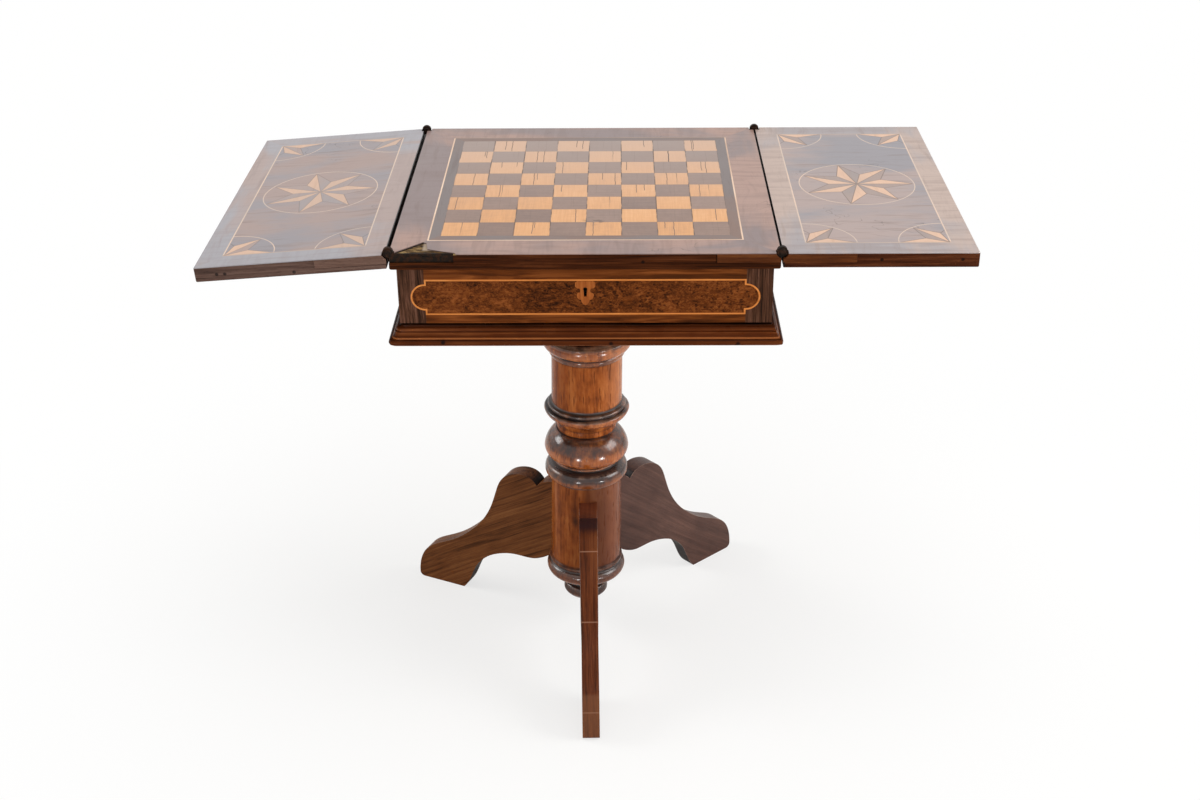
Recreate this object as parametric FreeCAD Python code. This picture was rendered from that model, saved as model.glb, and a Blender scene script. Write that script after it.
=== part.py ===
import FreeCAD, Part
import math
import os

from FreeCAD import Vector

# Chess table: a turned pillar on three cut-out legs carries a shallow box with one drawer, a square
# top with an inlaid board, and two leaves that fold over it. Millimetres, +Z up. The shapes are made
# about the upright line through the middle of the top, and export() moves them so that the origin is
# on the floor under the centre of the object's box.

# Driving dimensions ------------------------------------------------------------------------------
TOP_HALF = 250.0            # half the width of the square top
TOP_Z = 732.0               # floor to playing surface
UPPER_BOARD = 14.0          # upper board of the top, with its veneer
UNDER_TOP = 8.7             # thin board below it
UNDER_TOP_ROUND = 3.6       # rounding of its lower edge
VENEER = 1.2

SQUARE = 47.25              # one square of the board
SQUARE_GAP = 0.05           # glue line round each square
SURROUND_HALF = 203.0       # outer edge of the dark surround
LINE_HALF = 205.0           # outer edge of the boxwood line
LOST_VENEER = [(-251.0, -251.0), (-210.0, -210.0), (-204.5, -214.0), (-201.5, -233.5), (-184.0, -240.5),
               (-166.0, -245.5), (-163.0, -251.0)]      # broken away at the front left corner

LEAF_THICK = 20.5
LEAF_WIDE = 248.8
LEAF_ROUND = 2.4            # rounding of its lower edge
HINGE_X = 251.2             # hinge axes, at the level of the top
HINGE_RAISE = 0.2           # axis above the surface, so that folded faces clear
LEAF_GAP = 1.2              # hinge axis to the top's edge and to the right leaf's
LEFT_GAP = 3.0              # hinge axis to the left leaf's edge, which has shrunk away from it
LEFT_DROOP = 4.2            # degrees that the left leaf hangs below level

LEAF_CENTRE = 377.0         # centre of the leaf's inlay from the middle of the top
LEAF_LINE_X = 94.0          # half size of the leaf's boxwood rectangle
LEAF_LINE_Y = 217.0
LEAF_LINE = 1.8             # width of that line
RING_R = 81.0               # outer radius of the ring round the star
RING_LINE = 1.3
STAR_TIP = 79.0
STAR_WAIST = 39.5           # radius of the inner corners
STAR_POINTS = 7
FAN_R = 66.0                # radius of the corner fans' arc
FAN_TIP = 64.0
FAN_WAIST = 32.0

STRAP_HIGH = 12.0
STRAP_THICK = 3.0
STRAP_LONG = 84.0
STRAP_SCREWS = (20.0, 45.0, 73.0)   # from the hinge axis
STRAP_SCREW_R = 3.1         # head of such a screw
STRAP_SCREW_LONG = 16.0
EYE_R = 6.8
EYE_NOTCH_R = 8.0           # clearance bored in the wood for the eyes
EYE_STEP = 0.1              # between the two eyes of a hinge
EYE_NOTCH_PAST = 1.4        # depth of that clearance behind the eyes
RIVET_R = 2.5
RIVET_HEAD_R = 4.6
RIVET_HEAD_THICK = 1.2
RIVET_TAIL_THICK = 0.8
RUNNING_GAP = 0.05          # eye bore on its rivet
COVER_THICK = 3.5
TOP_COVER_LONG = 83.0
LEAF_COVER_LONG = 95.0

CASE_HALF = 242.0
CASE_WALL = 16.0
CASE_FLOOR_Z = 629.5        # top of the box's bottom board
CASE_FLOOR_THICK = 20.0
MOULDING_Z = 604.5          # underside of the base moulding
MOULDING_HALF = 257.5
MOULDING_INNER = 228.0

FRONT_THICK = 20.0          # drawer front with its veneer
FRONT_Z = (631.5, 708.4)
FRONT_GAP = 0.5             # between the drawer front and the ends of the case's sides
FRONT_LAP = 4.0             # how far the drawer's sides are let into the front
DRAWER_WALL = 9.5
DRAWER_SIDE_X = 224.5       # outer face of the drawer's sides
DRAWER_SIDE_Z = (629.8, 707.9)
DRAWER_BACK_Y = 214.0
DRAWER_BACK_DROP = 3.0      # top of the drawer's back below its sides
DRAWER_BOTTOM_Z = 633.8
DRAWER_BOTTOM_THICK = 6.0
PANEL_GROOVE = 3.0          # depth of the grooves that hold the drawer's bottom
DOVETAIL_Z = (650.0, 671.0, 692.0)
DOVETAIL_HALF = (4.5, 7.0)  # half height of a pin at its end and at its root

PANEL_X = 207.5             # ends of the long boxwood lines on the drawer front
PANEL_Z = (643.2, 693.1)    # outer edges of those lines
PANEL_STEP = 6.5            # shoulder before the round end
PANEL_LINE = 2.2

KEYHOLE_Z = 679.0
KEYHOLE_R = 2.8             # its round head
KEYHOLE_SLOT = (2.4, 1.6)   # half width of its slot at the top and at the bottom
KEYHOLE_LOW_Z = 668.8
KEYHOLE_PAST = 3.0          # how far it runs into the lock's box
KEY_PIN_R = 1.4
LOCK_HALF = 22.0            # half width of the lock's box
LOCK_FLANGE_HALF = 28.0
LOCK_Z = 660.0              # underside of the lock's box
LOCK_FLANGE_Z = 655.0
LOCK_DEEP = 11.0            # box let into the drawer front
LOCK_PLATE = 1.2
LOCK_EDGE = 1.6             # strip along the top of the drawer front
LOCK_WALL = 2.0
LOCK_FACE_WALL = 1.4        # front wall of the lock's box
LOCK_SCREW_R = 2.6
LOCK_SCREW_LONG = 9.2
LOCK_SCREW_Z = 697.0        # of the upper pair
BOLT_HALF = 9.0
BOLT_Z = 686.0              # underside of the bolt
BOLT_DROP = 0.2             # its end below the top of the drawer front
BOLT_NOTCH = (5.0, 3.4)     # half width of the key's notch at the bottom and at the top
BOLT_NOTCH_HIGH = 3.0
BOLT_GAP = 0.3              # bolt to the sides of its slot
BOLT_LIFT = 5.0
KEEPER_GAP = 1.1            # bolt to the sides of the mortise under the top

BEARER_HALF = 115.0
BEARER_Z = 584.5            # underside of the bearer block
BEARER_CHAMFER = 3.0
BEARER_SCREW_INSET = 22.0   # from the block's edges
BEARER_SCREW_R = 5.0
BEARER_SCREW_BITE = 14.0    # into the bottom board

PILLAR_X = -2.4             # middle of the pillar under the bearer
LEAN = 0.85                 # degrees that the old pillar leans, its foot to the left
PILLAR_FOOT_Z = 91.0
SPIGOT_R = 12.0             # spigot of the drop, up into the pillar
SPIGOT_LONG = 22.0
COLLAR_R = 55.0             # the pillar under the bearer
SHOULDER_SPARE = 5.0        # wood turned past the pillar's shoulder, then cut off level
TENON_R = 30.0
TENON_ROOT = 10.0           # how far the tenon's core runs down into the pillar
TENON_GAP = 0.5             # end of the tenon to the bottom board

LEG_THICK = 27.0            # a leg over its crest
LEG_TOE_THICK = 25.0
LEG_THINS = (140.0, 185.0)  # radii between which a leg thins
LEG_TENON_THICK = 12.0
LEG_TENON_Z = (130.0, 226.0)
LEG_TENON_R = (30.0, 68.0)
LEG_ROOT_R = 40.0           # the blank's inner end, inside the pillar
LEG_CREST_R = 79.5          # foot of the crest; beyond it the legs differ in length
FRONT_LEG_ANGLE = 271.4
FRONT_TOE_R = 312.5
LEGS = {                    # angle, x where the leg's middle plane meets the x axis, reach of the toe
    "front_leg": (FRONT_LEG_ANGLE, -5.3, FRONT_TOE_R),
    "left_leg": (155.4, -7.3, 304.4),
    "right_leg": (42.4, -7.3, 313.4),
}

# The outermost places give the centre of the box on the floor.
LEAF_EDGE = HINGE_X + LEAF_GAP + LEAF_WIDE
DROOP = math.radians(LEFT_DROOP)
LEFT_REACH = HINGE_X + (LEAF_GAP + LEAF_WIDE) * math.cos(DROOP) + HINGE_RAISE * math.sin(DROOP)
SKEW = math.radians(FRONT_LEG_ANGLE - 270)
FRONT_REACH = FRONT_TOE_R * math.cos(SKEW) + LEG_TOE_THICK / 2 * math.sin(SKEW)
AXIS_X = (LEFT_REACH - LEAF_EDGE) / 2
AXIS_Y = (FRONT_REACH - MOULDING_HALF) / 2

UP = Vector(0, 0, 1)
CORE_Z = TOP_Z - VENEER
UNDER_Z = TOP_Z - UPPER_BOARD
CASE_TOP_Z = UNDER_Z - UNDER_TOP
CASE_UNDER_Z = CASE_FLOOR_Z - CASE_FLOOR_THICK
CASE_INNER = CASE_HALF - CASE_WALL
LEAF_UNDER_Z = TOP_Z - LEAF_THICK
FIELD_HALF = 4 * SQUARE
HINGE_Z = TOP_Z + HINGE_RAISE
STRAP_FACE = -TOP_HALF + COVER_THICK
LEAF_STRAP_FACE = STRAP_FACE + STRAP_THICK + EYE_STEP
FRONT_FACE = -CASE_HALF
FRONT_CORE = FRONT_FACE + VENEER
FRONT_BACK = FRONT_FACE + FRONT_THICK
DRAWER_INNER = DRAWER_SIDE_X - DRAWER_WALL
PAST = 1.0                  # how far a cutting shape runs past a face


# Plain shapes ------------------------------------------------------------------------------------
def block(x0, x1, y0, y1, z0, z1):
    """A box between the given faces. Either face of a pair may come first."""
    low = Vector(min(x0, x1), min(y0, y1), min(z0, z1))
    return Part.makeBox(abs(x1 - x0), abs(y1 - y0), abs(z1 - z0), low)


def rod(radius, start, end):
    """A cylinder from one point to another."""
    a, b = Vector(*start), Vector(*end)
    return Part.makeCylinder(radius, (b - a).Length, a, b - a)


def plate(points, z0, z1):
    """A flat polygon, raised from z0 to z1."""
    corners = [Vector(x, y, z0) for x, y in points]
    return Part.Face(Part.makePolygon(corners + corners[:1])).extrude(Vector(0, 0, z1 - z0))


def ring(outer, width, centre, z0, z1):
    """A flat ring."""
    x, y = centre
    return rod(outer, (x, y, z0), (x, y, z1)).cut(rod(outer - width, (x, y, z0), (x, y, z1)))


def frame(half_x, half_y, width, centre, z0, z1):
    """A flat rectangular frame, given by its outer half sizes."""
    x, y = centre
    outer = block(x - half_x, x + half_x, y - half_y, y + half_y, z0, z1)
    inner_x, inner_y = half_x - width, half_y - width
    return outer.cut(block(x - inner_x, x + inner_x, y - inner_y, y + inner_y, z0, z1))


def mitred_strips(inner, outer, z0, z1):
    """The four mitred strips between two squares, front first and anticlockwise."""
    front = [(-outer, -outer), (outer, -outer), (inner, -inner), (-inner, -inner)]
    return [turned(plate(front, z0, z1), 90.0 * turn) for turn in range(4)]


def outline(steps):
    """Edges through (x, z) steps in the plane y = 0. A step of four numbers is an arc: middle, then end."""
    edges = []
    here = Vector(steps[0][0], 0, steps[0][1])
    for step in steps[1:]:
        end = Vector(step[-2], 0, step[-1])
        if len(step) == 4:
            edges.append(Part.Arc(here, Vector(step[0], 0, step[1]), end).toShape())
        else:
            edges.append(Part.makeLine(here, end))
        here = end
    return edges


def spline(points):
    """A smooth edge through (x, z) points in the plane y = 0."""
    curve = Part.BSplineCurve()
    curve.interpolate([Vector(x, 0, z) for x, z in points])
    return curve.toShape()


def slab(edges, y0, y1):
    """A closed outline in the plane y = 0, as a board from y0 to y1."""
    board = Part.Face(Part.Wire(edges)).extrude(Vector(0, y1 - y0, 0))
    board.translate(Vector(0, y0, 0))
    return board


def revolved(steps):
    """A closed (radius, z) outline turned about the z axis."""
    return Part.Face(Part.Wire(outline(steps))).revolve(Vector(0, 0, 0), UP, 360)


def screw(head_r, long, place, turn):
    """
    A slotted countersunk wood screw with its head flush at a face.

    turn is the angle about the x axis from upright: -90 points the screw to the back, 90 to the front.
    """
    deep = 0.65 * head_r
    head = Part.makeCone(head_r, head_r / 2, deep)
    shank = rod(head_r / 2, (0, 0, deep / 2), (0, 0, long))
    slot = block(-head_r, head_r, -head_r / 8, head_r / 8, 0, head_r / 5)
    made = head.fuse(shank).cut(slot).removeSplitter()
    made.rotate(Vector(0, 0, 0), Vector(1, 0, 0), turn)
    made.translate(Vector(*place))
    return made


# Places and groups -------------------------------------------------------------------------------
def turned(shape, degrees):
    """The shape turned about the z axis."""
    copy = shape.copy()
    copy.rotate(Vector(0, 0, 0), UP, degrees)
    return copy


def mirrored_x(shape):
    """The shape mirrored from right to left."""
    return shape.mirror(Vector(0, 0, 0), Vector(1, 0, 0))


def mirrored_y(shape):
    """The shape mirrored from front to back."""
    return shape.mirror(Vector(0, 0, 0), Vector(0, 1, 0))


def four_corners(shape):
    """A shape at the front right corner, copied to all four corners: front right, front left, then back."""
    back = mirrored_y(shape)
    return [shape, mirrored_x(shape), back, mirrored_x(back)]


def joined(shapes):
    """Separate solids in one group."""
    solids = [solid for shape in shapes for solid in shape.Solids]
    return Part.makeCompound(solids) if len(solids) > 1 else solids[0]


def export(name, shape):
    """Writes one sub-part, moved into the object's frame."""
    placed = shape.copy()
    placed.translate(Vector(AXIS_X, AXIS_Y, 0))
    placed.exportStep("parts/" + name + ".step")


# Pillar ------------------------------------------------------------------------------------------
def leaned(shape):
    """The shape leaned with the pillar, about its middle under the bearer."""
    copy = shape.copy()
    copy.rotate(Vector(0, 0, BEARER_Z), Vector(0, 1, 0), LEAN)
    copy.translate(Vector(PILLAR_X, 0, 0))
    return copy


def slanting_core():
    """The rod that the pillar's tenon is cut from, and that cuts its bore, too long at both ends."""
    return leaned(rod(TENON_R, (0, 0, BEARER_Z - TENON_ROOT), (0, 0, CASE_FLOOR_Z)))


def pillar_tenon():
    """The round tenon on top of the pillar, cut off level under the bottom board."""
    end = CASE_UNDER_Z - TENON_GAP
    return slanting_core().cut(block(-TOP_HALF, TOP_HALF, -TOP_HALF, TOP_HALF, end, TOP_Z))


def pillar_envelope():
    """The whole turned pillar, before its mortises are cut, with its shoulder level under the bearer."""
    body = leaned(revolved([
        (0.0, PILLAR_FOOT_Z), (48.0, PILLAR_FOOT_Z),
        (58.9, 97.2, 60.6, 101.4), (60.2, 107.2, 56.4, 112.4),                      # base ring
        (54.4, 113.4), (54.4, 116.0), (56.8, 119.2, 55.2, 122.4), (53.8, 123.2),
        (54.0, 190.0, 52.7, 266.8),                                                 # lower barrel
        (55.6, 267.4), (60.9, 271.0, 62.9, 278.2), (61.5, 284.8, 58.8, 288.8),      # lower ring
        (49.8, 293.0), (48.4, 293.4), (49.6, 295.4, 48.2, 297.2), (46.0, 297.8),
        (44.5, 298.8), (57.8, 303.8, 63.6, 317.0), (58.2, 333.2, 46.0, 346.5),      # bulb
        (43.4, 347.6), (44.8, 351.8, 43.4, 356.2),                                  # neck
        (44.4, 358.6), (48.6, 369.2), (62.0, 376.4, 64.1, 382.2),                   # upper ring
        (63.2, 383.7, 59.3, 385.2), (56.4, 385.6), (58.8, 388.4, 56.2, 391.8), (54.0, 392.6),
        (52.8, 394.2), (52.7, 430.0, 52.6, 471.6),                                  # upper barrel
        (55.0, 472.6), (56.6, 477.0, 55.2, 480.4), (54.4, 481.0), (55.6, 482.0),    # capital
        (63.2, 485.6, 65.4, 497.8), (66.2, 500.6, 65.4, 502.8), (60.0, 506.5), (54.0, 508.0),
        (50.6, 511.0, 50.0, 517.0), (49.6, 537.0, 51.0, 556.0),                     # collar
        (53.0, 561.0), (58.6, 566.6, 60.0, 573.0), (59.0, 579.4, COLLAR_R, 583.0),
        (COLLAR_R, BEARER_Z + SHOULDER_SPARE), (0.0, BEARER_Z + SHOULDER_SPARE), (0.0, PILLAR_FOOT_Z),
    ]))
    above = block(-TOP_HALF, TOP_HALF, -TOP_HALF, TOP_HALF, BEARER_Z, TOP_Z)
    return body.cut(above).fuse(pillar_tenon()).removeSplitter()


def pendant():
    """The turned drop under the pillar, on its spigot."""
    end = PILLAR_FOOT_Z + SPIGOT_LONG
    return leaned(revolved([
        (0.0, 44.0), (13.0, 45.2), (27.4, 49.9, 34.1, 57.6), (33.4, 64.9, 31.7, 69.1),
        (27.0, 70.4), (25.0, 77.0, 28.0, 86.0), (31.0, PILLAR_FOOT_Z),
        (SPIGOT_R, PILLAR_FOOT_Z), (SPIGOT_R, end), (0.0, end), (0.0, 44.0),
    ]))


def drawn_out(points, reach):
    """A leg's (radius, z) points, with those past its crest drawn in or out to bring its toe to the reach."""
    scale = (reach - LEG_CREST_R) / (FRONT_TOE_R - LEG_CREST_R)
    return [(r if r < LEG_CREST_R else LEG_CREST_R + (r - LEG_CREST_R) * scale, z) for r, z in points]


def leg_board(reach):
    """The cut-out board of a leg that points along +X, from the pillar over the crest to the toe and back."""
    shoulder = [(LEG_ROOT_R, 245.2), (55.0, 241.8), (64.0, 239.4), (71.0, 236.2), (LEG_CREST_R, 228.2)]
    crest = [(LEG_CREST_R, 228.2), (85.0, 234.8), (91.5, 239.2), (99.0, 241.6), (106.5, 242.3),
             (116.0, 241.2), (127.0, 237.8), (138.0, 231.2), (147.0, 221.2), (154.8, 203.5), (164.5, 175.0),
             (178.0, 148.5), (195.0, 126.5), (215.0, 107.5), (240.0, 89.5), (266.0, 76.0), (287.0, 64.6),
             (299.5, 52.5), (307.5, 37.5), (311.5, 22.0), (FRONT_TOE_R, 9.0)]
    toe = [(FRONT_TOE_R, 9.0), (310.6, 2.8), (304.0, 0.0)]
    sole = [(304.0, 0.0), (226.0, 0.0)]
    arch = [(226.0, 0.0), (214.0, 17.5), (206.5, 34.5), (198.5, 50.0), (187.5, 63.0), (173.0, 74.5),
            (157.0, 82.5), (140.0, 88.0), (122.0, 90.4), (104.0, 90.4), (89.0, 91.6), (76.0, 96.2),
            (64.0, 103.2), (54.0, 112.8)]
    root = [(54.0, 112.8), (LEG_ROOT_R, 112.8), (LEG_ROOT_R, 245.2)]
    back = [spline(drawn_out(points, reach)) for points in (shoulder, crest, toe)]
    under = outline(drawn_out(sole, reach)) + [spline(drawn_out(arch, reach))]
    board = slab(back + under + outline(root), -LEG_THICK / 2, LEG_THICK / 2)
    thick, thin = LEG_THICK / 2 + PAST, LEG_TOE_THICK / 2
    start, end = LEG_THINS
    off = [(start, LEG_THICK / 2), (end, thin), (reach + PAST, thin), (reach + PAST, thick), (start, thick)]
    side = plate(off, -PAST, BEARER_Z)
    return board.cut([side, mirrored_y(side)])


def at_leg(shape, angle, offset):
    """A shape that points along +X, turned to a leg's angle and moved to where its plane meets the x axis."""
    placed = turned(shape, angle)
    placed.translate(Vector(offset, 0, 0))
    return placed


def build_pillar():
    """The pillar, its drop and its three legs, scribed to its leaning side and tenoned into it."""
    envelope = pillar_envelope()
    drop = pendant()
    half = LEG_TENON_THICK / 2
    tenon = block(*LEG_TENON_R, -half, half, *LEG_TENON_Z)
    column = envelope.cut(drop)
    for name, (angle, offset, reach) in LEGS.items():
        board = at_leg(leg_board(reach), angle, offset)
        placed_tenon = at_leg(tenon, angle, offset)
        export(name, board.cut(envelope).fuse(placed_tenon).removeSplitter())
        column = column.cut(placed_tenon)
    export("column", column)
    export("pendant", drop)


# Box ---------------------------------------------------------------------------------------------
def moulding_strip():
    """The front strip of the base moulding, mitred at both ends. Its profile goes outwards as x."""
    edge, z, top = MOULDING_HALF, MOULDING_Z, CASE_FLOOR_Z
    profile = Part.Face(Part.Wire(outline([
        (MOULDING_INNER, z),
        (edge - 3.0, z), (edge, z + 4.1, edge - 3.0, z + 8.2),                      # torus
        (edge - 4.6, z + 8.4), (edge - 4.8, z + 10.0),
        (edge - 6.6, z + 12.4, edge - 8.2, z + 17.0),                               # cove
        (edge - 9.4, z + 17.2), (edge - 9.6, z + 19.6),
        (edge - 10.2, z + 21.4, edge - 11.8, z + 22.4),                             # small round
        (edge - 14.0, z + 22.6), (edge - 14.2, top), (MOULDING_INNER, top), (MOULDING_INNER, z),
    ])))
    profile.rotate(Vector(0, 0, 0), UP, -90)
    profile.translate(Vector(-edge, 0, 0))
    strip = profile.extrude(Vector(2 * edge, 0, 0))
    reach = 2 * edge
    return strip.common(plate([(0, 0), (-reach, -reach), (reach, -reach)], z - PAST, top + PAST))


def build_box():
    """The bearer block, the base moulding and the boards of the box."""
    bearer = block(-BEARER_HALF, BEARER_HALF, -BEARER_HALF, BEARER_HALF, BEARER_Z, CASE_UNDER_Z)
    lower = [edge for edge in bearer.Edges if edge.BoundBox.ZMax < BEARER_Z + PAST]
    place = BEARER_HALF - BEARER_SCREW_INSET
    long = CASE_UNDER_Z - BEARER_Z + BEARER_SCREW_BITE
    screws = joined(four_corners(screw(BEARER_SCREW_R, long, (place, -place, BEARER_Z), 0)))
    export("column_bearer", bearer.makeChamfer(BEARER_CHAMFER, lower).cut(slanting_core()).cut(screws))
    export("bearer_screws", screws)

    inner = MOULDING_INNER
    bottom = block(-inner, inner, -inner, inner, CASE_UNDER_Z, CASE_FLOOR_Z)
    export("case_bottom", bottom.cut(screws))
    strip = moulding_strip()
    for turn, name in enumerate(("front", "right", "back", "left")):
        export("base_moulding_" + name, turned(strip, 90 * turn))

    side = block(CASE_INNER, CASE_HALF, FRONT_BACK + FRONT_GAP, CASE_HALF, CASE_FLOOR_Z, CASE_TOP_Z)
    export("case_right_side", side)
    export("case_left_side", mirrored_x(side))
    back = block(-CASE_INNER, CASE_INNER, CASE_INNER, CASE_HALF, CASE_FLOOR_Z, CASE_TOP_Z)
    export("case_back", back)


# Hinges ------------------------------------------------------------------------------------------
def strap(sign, face, bore, gap=LEAF_GAP):
    """
    One iron strap of the front right hinge, from its eye towards the top (sign -1) or the leaf (+1).

    face is the y of its outer face, bore the radius of the hole in its eye, and gap the distance from the
    hinge axis to the board's edge.
    """
    back = face + STRAP_THICK
    low = CORE_Z - STRAP_HIGH
    bar = block(HINGE_X + sign * gap, HINGE_X + sign * STRAP_LONG, face, back, low, CORE_Z)
    eye = rod(EYE_R, (HINGE_X, face, HINGE_Z), (HINGE_X, back, HINGE_Z))
    hole = rod(bore, (HINGE_X, face - PAST, HINGE_Z), (HINGE_X, back + PAST, HINGE_Z))
    return bar.fuse(eye).cut(hole).removeSplitter()


def strap_screws(sign, face):
    """The three screws of a strap, with their heads flush with its outer face."""
    z = CORE_Z - STRAP_HIGH / 2
    return joined([screw(STRAP_SCREW_R, STRAP_SCREW_LONG, (HINGE_X + sign * place, face, z), -90)
                   for place in STRAP_SCREWS])


def housing(sign, long, depth):
    """A housing cut in a board's edge, from the hinge axis along it and from its face to the given y."""
    return block(HINGE_X, HINGE_X + sign * long, -TOP_HALF - PAST, depth, CORE_Z - STRAP_HIGH, CORE_Z)


def strap_housings(sign, strap_back, cover_long):
    """The housings of one strap and of the slip of wood over it."""
    return [housing(sign, STRAP_LONG, strap_back), housing(sign, cover_long, STRAP_FACE)]


def eye_notch():
    """The round clearance for the two eyes of the front right hinge."""
    deep = LEAF_STRAP_FACE + STRAP_THICK + EYE_NOTCH_PAST
    return rod(EYE_NOTCH_R, (HINGE_X, -TOP_HALF - PAST, HINGE_Z), (HINGE_X, deep, HINGE_Z))


def cover(sign, long, gap=LEAF_GAP):
    """The slip of wood over one strap, flush with the board's edge. gap is from the hinge axis to it."""
    slip = block(HINGE_X + sign * gap, HINGE_X + sign * long, -TOP_HALF, STRAP_FACE,
                 CORE_Z - STRAP_HIGH, CORE_Z)
    return slip.cut(eye_notch())


def rivet():
    """The rivet of the front right hinge, tight in the top's strap and free in the leaf's."""
    back = LEAF_STRAP_FACE + STRAP_THICK
    proud = RIVET_HEAD_THICK
    shaft = rod(RIVET_R, (HINGE_X, STRAP_FACE - proud / 2, HINGE_Z), (HINGE_X, back + proud / 2, HINGE_Z))
    head = Part.makeCone(0.7 * RIVET_HEAD_R, RIVET_HEAD_R, proud,
                         Vector(HINGE_X, STRAP_FACE - proud, HINGE_Z), Vector(0, 1, 0))
    tail = Part.makeCone(0.9 * RIVET_HEAD_R, 0.7 * RIVET_HEAD_R, RIVET_TAIL_THICK,
                         Vector(HINGE_X, back + EYE_STEP, HINGE_Z), Vector(0, 1, 0))
    return head.fuse([shaft, tail]).removeSplitter()


# Top ---------------------------------------------------------------------------------------------
def squares(parity):
    """The 32 squares of one colour. The front left square has column 0, row 0 and parity 0."""
    half = SQUARE / 2 - SQUARE_GAP
    cells = []
    for column in range(8):
        for row in range(8):
            if (column + row) % 2 == parity:
                x = -FIELD_HALF + (column + 0.5) * SQUARE
                y = -FIELD_HALF + (row + 0.5) * SQUARE
                cells.append(block(x - half, x + half, y - half, y + half, CORE_Z, TOP_Z))
    return joined(cells)


def build_top():
    """The two boards of the top, their inlay, and the top's half of the four hinges."""
    straps = joined(four_corners(strap(-1, STRAP_FACE, RIVET_R)))
    screws = joined(four_corners(strap_screws(-1, STRAP_FACE)))
    notches = four_corners(eye_notch())
    housings = [copy for cut in strap_housings(-1, STRAP_FACE + STRAP_THICK, TOP_COVER_LONG)
                for copy in four_corners(cut)]
    covers = four_corners(cover(-1, TOP_COVER_LONG))
    del covers[1]                                       # the front left slip is lost

    board = block(-TOP_HALF, TOP_HALF, -TOP_HALF, TOP_HALF, UNDER_Z, CORE_Z)
    export("top_board", board.cut(housings + notches).cut(screws).removeSplitter())
    under = block(-TOP_HALF, TOP_HALF, -TOP_HALF, TOP_HALF, CASE_TOP_Z, UNDER_Z)
    lower = [edge for edge in under.Edges if edge.BoundBox.ZMax < CASE_TOP_Z + PAST]
    keeper = block(-BOLT_HALF - KEEPER_GAP, BOLT_HALF + KEEPER_GAP,
                   FRONT_BACK - LOCK_DEEP + LOCK_WALL - KEEPER_GAP, FRONT_BACK - LOCK_WALL + KEEPER_GAP,
                   CASE_TOP_Z, CASE_TOP_Z + BOLT_LIFT + KEEPER_GAP)
    export("under_top", under.makeFillet(UNDER_TOP_ROUND, lower).cut(keeper))

    banding = mitred_strips(LINE_HALF, TOP_HALF, CORE_Z, TOP_Z)
    banding[0] = banding[0].cut(plate(LOST_VENEER, CORE_Z, TOP_Z))
    export("top_banding", joined([strip.cut(notches) for strip in banding]))
    export("top_stringing", frame(LINE_HALF, LINE_HALF, LINE_HALF - SURROUND_HALF, (0, 0), CORE_Z, TOP_Z))
    export("board_surround", joined(mitred_strips(FIELD_HALF, SURROUND_HALF, CORE_Z, TOP_Z)))
    export("light_squares", squares(0))
    export("dark_squares", squares(1))
    export("top_hinge_straps", straps.cut(screws))
    export("hinge_rivets", joined(four_corners(rivet())))
    export("top_hinge_screws", screws)
    export("top_hinge_covers", joined(covers))


# Leaves ------------------------------------------------------------------------------------------
def star_half(centre, tip_r, waist_r, point, light, flip=(1, 1)):
    """
    Half of one point of a compass star: centre, tip, and the inner corner on one side of it.

    The light half is on the anticlockwise side. flip mirrors the point in x and y.
    """
    step = 2 * math.pi / STAR_POINTS
    tip = point * step
    waist = tip + (step / 2 if light else -step / 2)
    corners = [(0, 0), (waist_r * math.cos(waist), waist_r * math.sin(waist)),
               (tip_r * math.cos(tip), tip_r * math.sin(tip))]
    return plate([(centre[0] + flip[0] * x, centre[1] + flip[1] * y) for x, y in corners], CORE_Z, TOP_Z)


def leaf_inlay(side):
    """The lines, light pieces, dark pieces and inner field of one leaf's inlay. side is +1 right, -1 left."""
    centre = (side * LEAF_CENTRE, 0.0)
    inner_x, inner_y = LEAF_LINE_X - LEAF_LINE, LEAF_LINE_Y - LEAF_LINE
    inside = block(centre[0] - inner_x, centre[0] + inner_x, -inner_y, inner_y, CORE_Z, TOP_Z)
    lines = [frame(LEAF_LINE_X, LEAF_LINE_Y, LEAF_LINE, centre, CORE_Z, TOP_Z),
             ring(RING_R, RING_LINE, centre, CORE_Z, TOP_Z)]
    light = [star_half(centre, STAR_TIP, STAR_WAIST, n, True) for n in range(STAR_POINTS)]
    dark = [star_half(centre, STAR_TIP, STAR_WAIST, n, False) for n in range(STAR_POINTS)]
    for flip_x in (1, -1):
        for flip_y in (1, -1):
            corner = (centre[0] - flip_x * inner_x, -flip_y * inner_y)
            flip = (flip_x, flip_y)
            lines.append(ring(FAN_R, RING_LINE, corner, CORE_Z, TOP_Z).common(inside))
            light += [star_half(corner, FAN_TIP, FAN_WAIST, n, True, flip) for n in (0, 1)]
            dark.append(star_half(corner, FAN_TIP, FAN_WAIST, 1, False, flip))
    return lines, light, dark, inside


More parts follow.
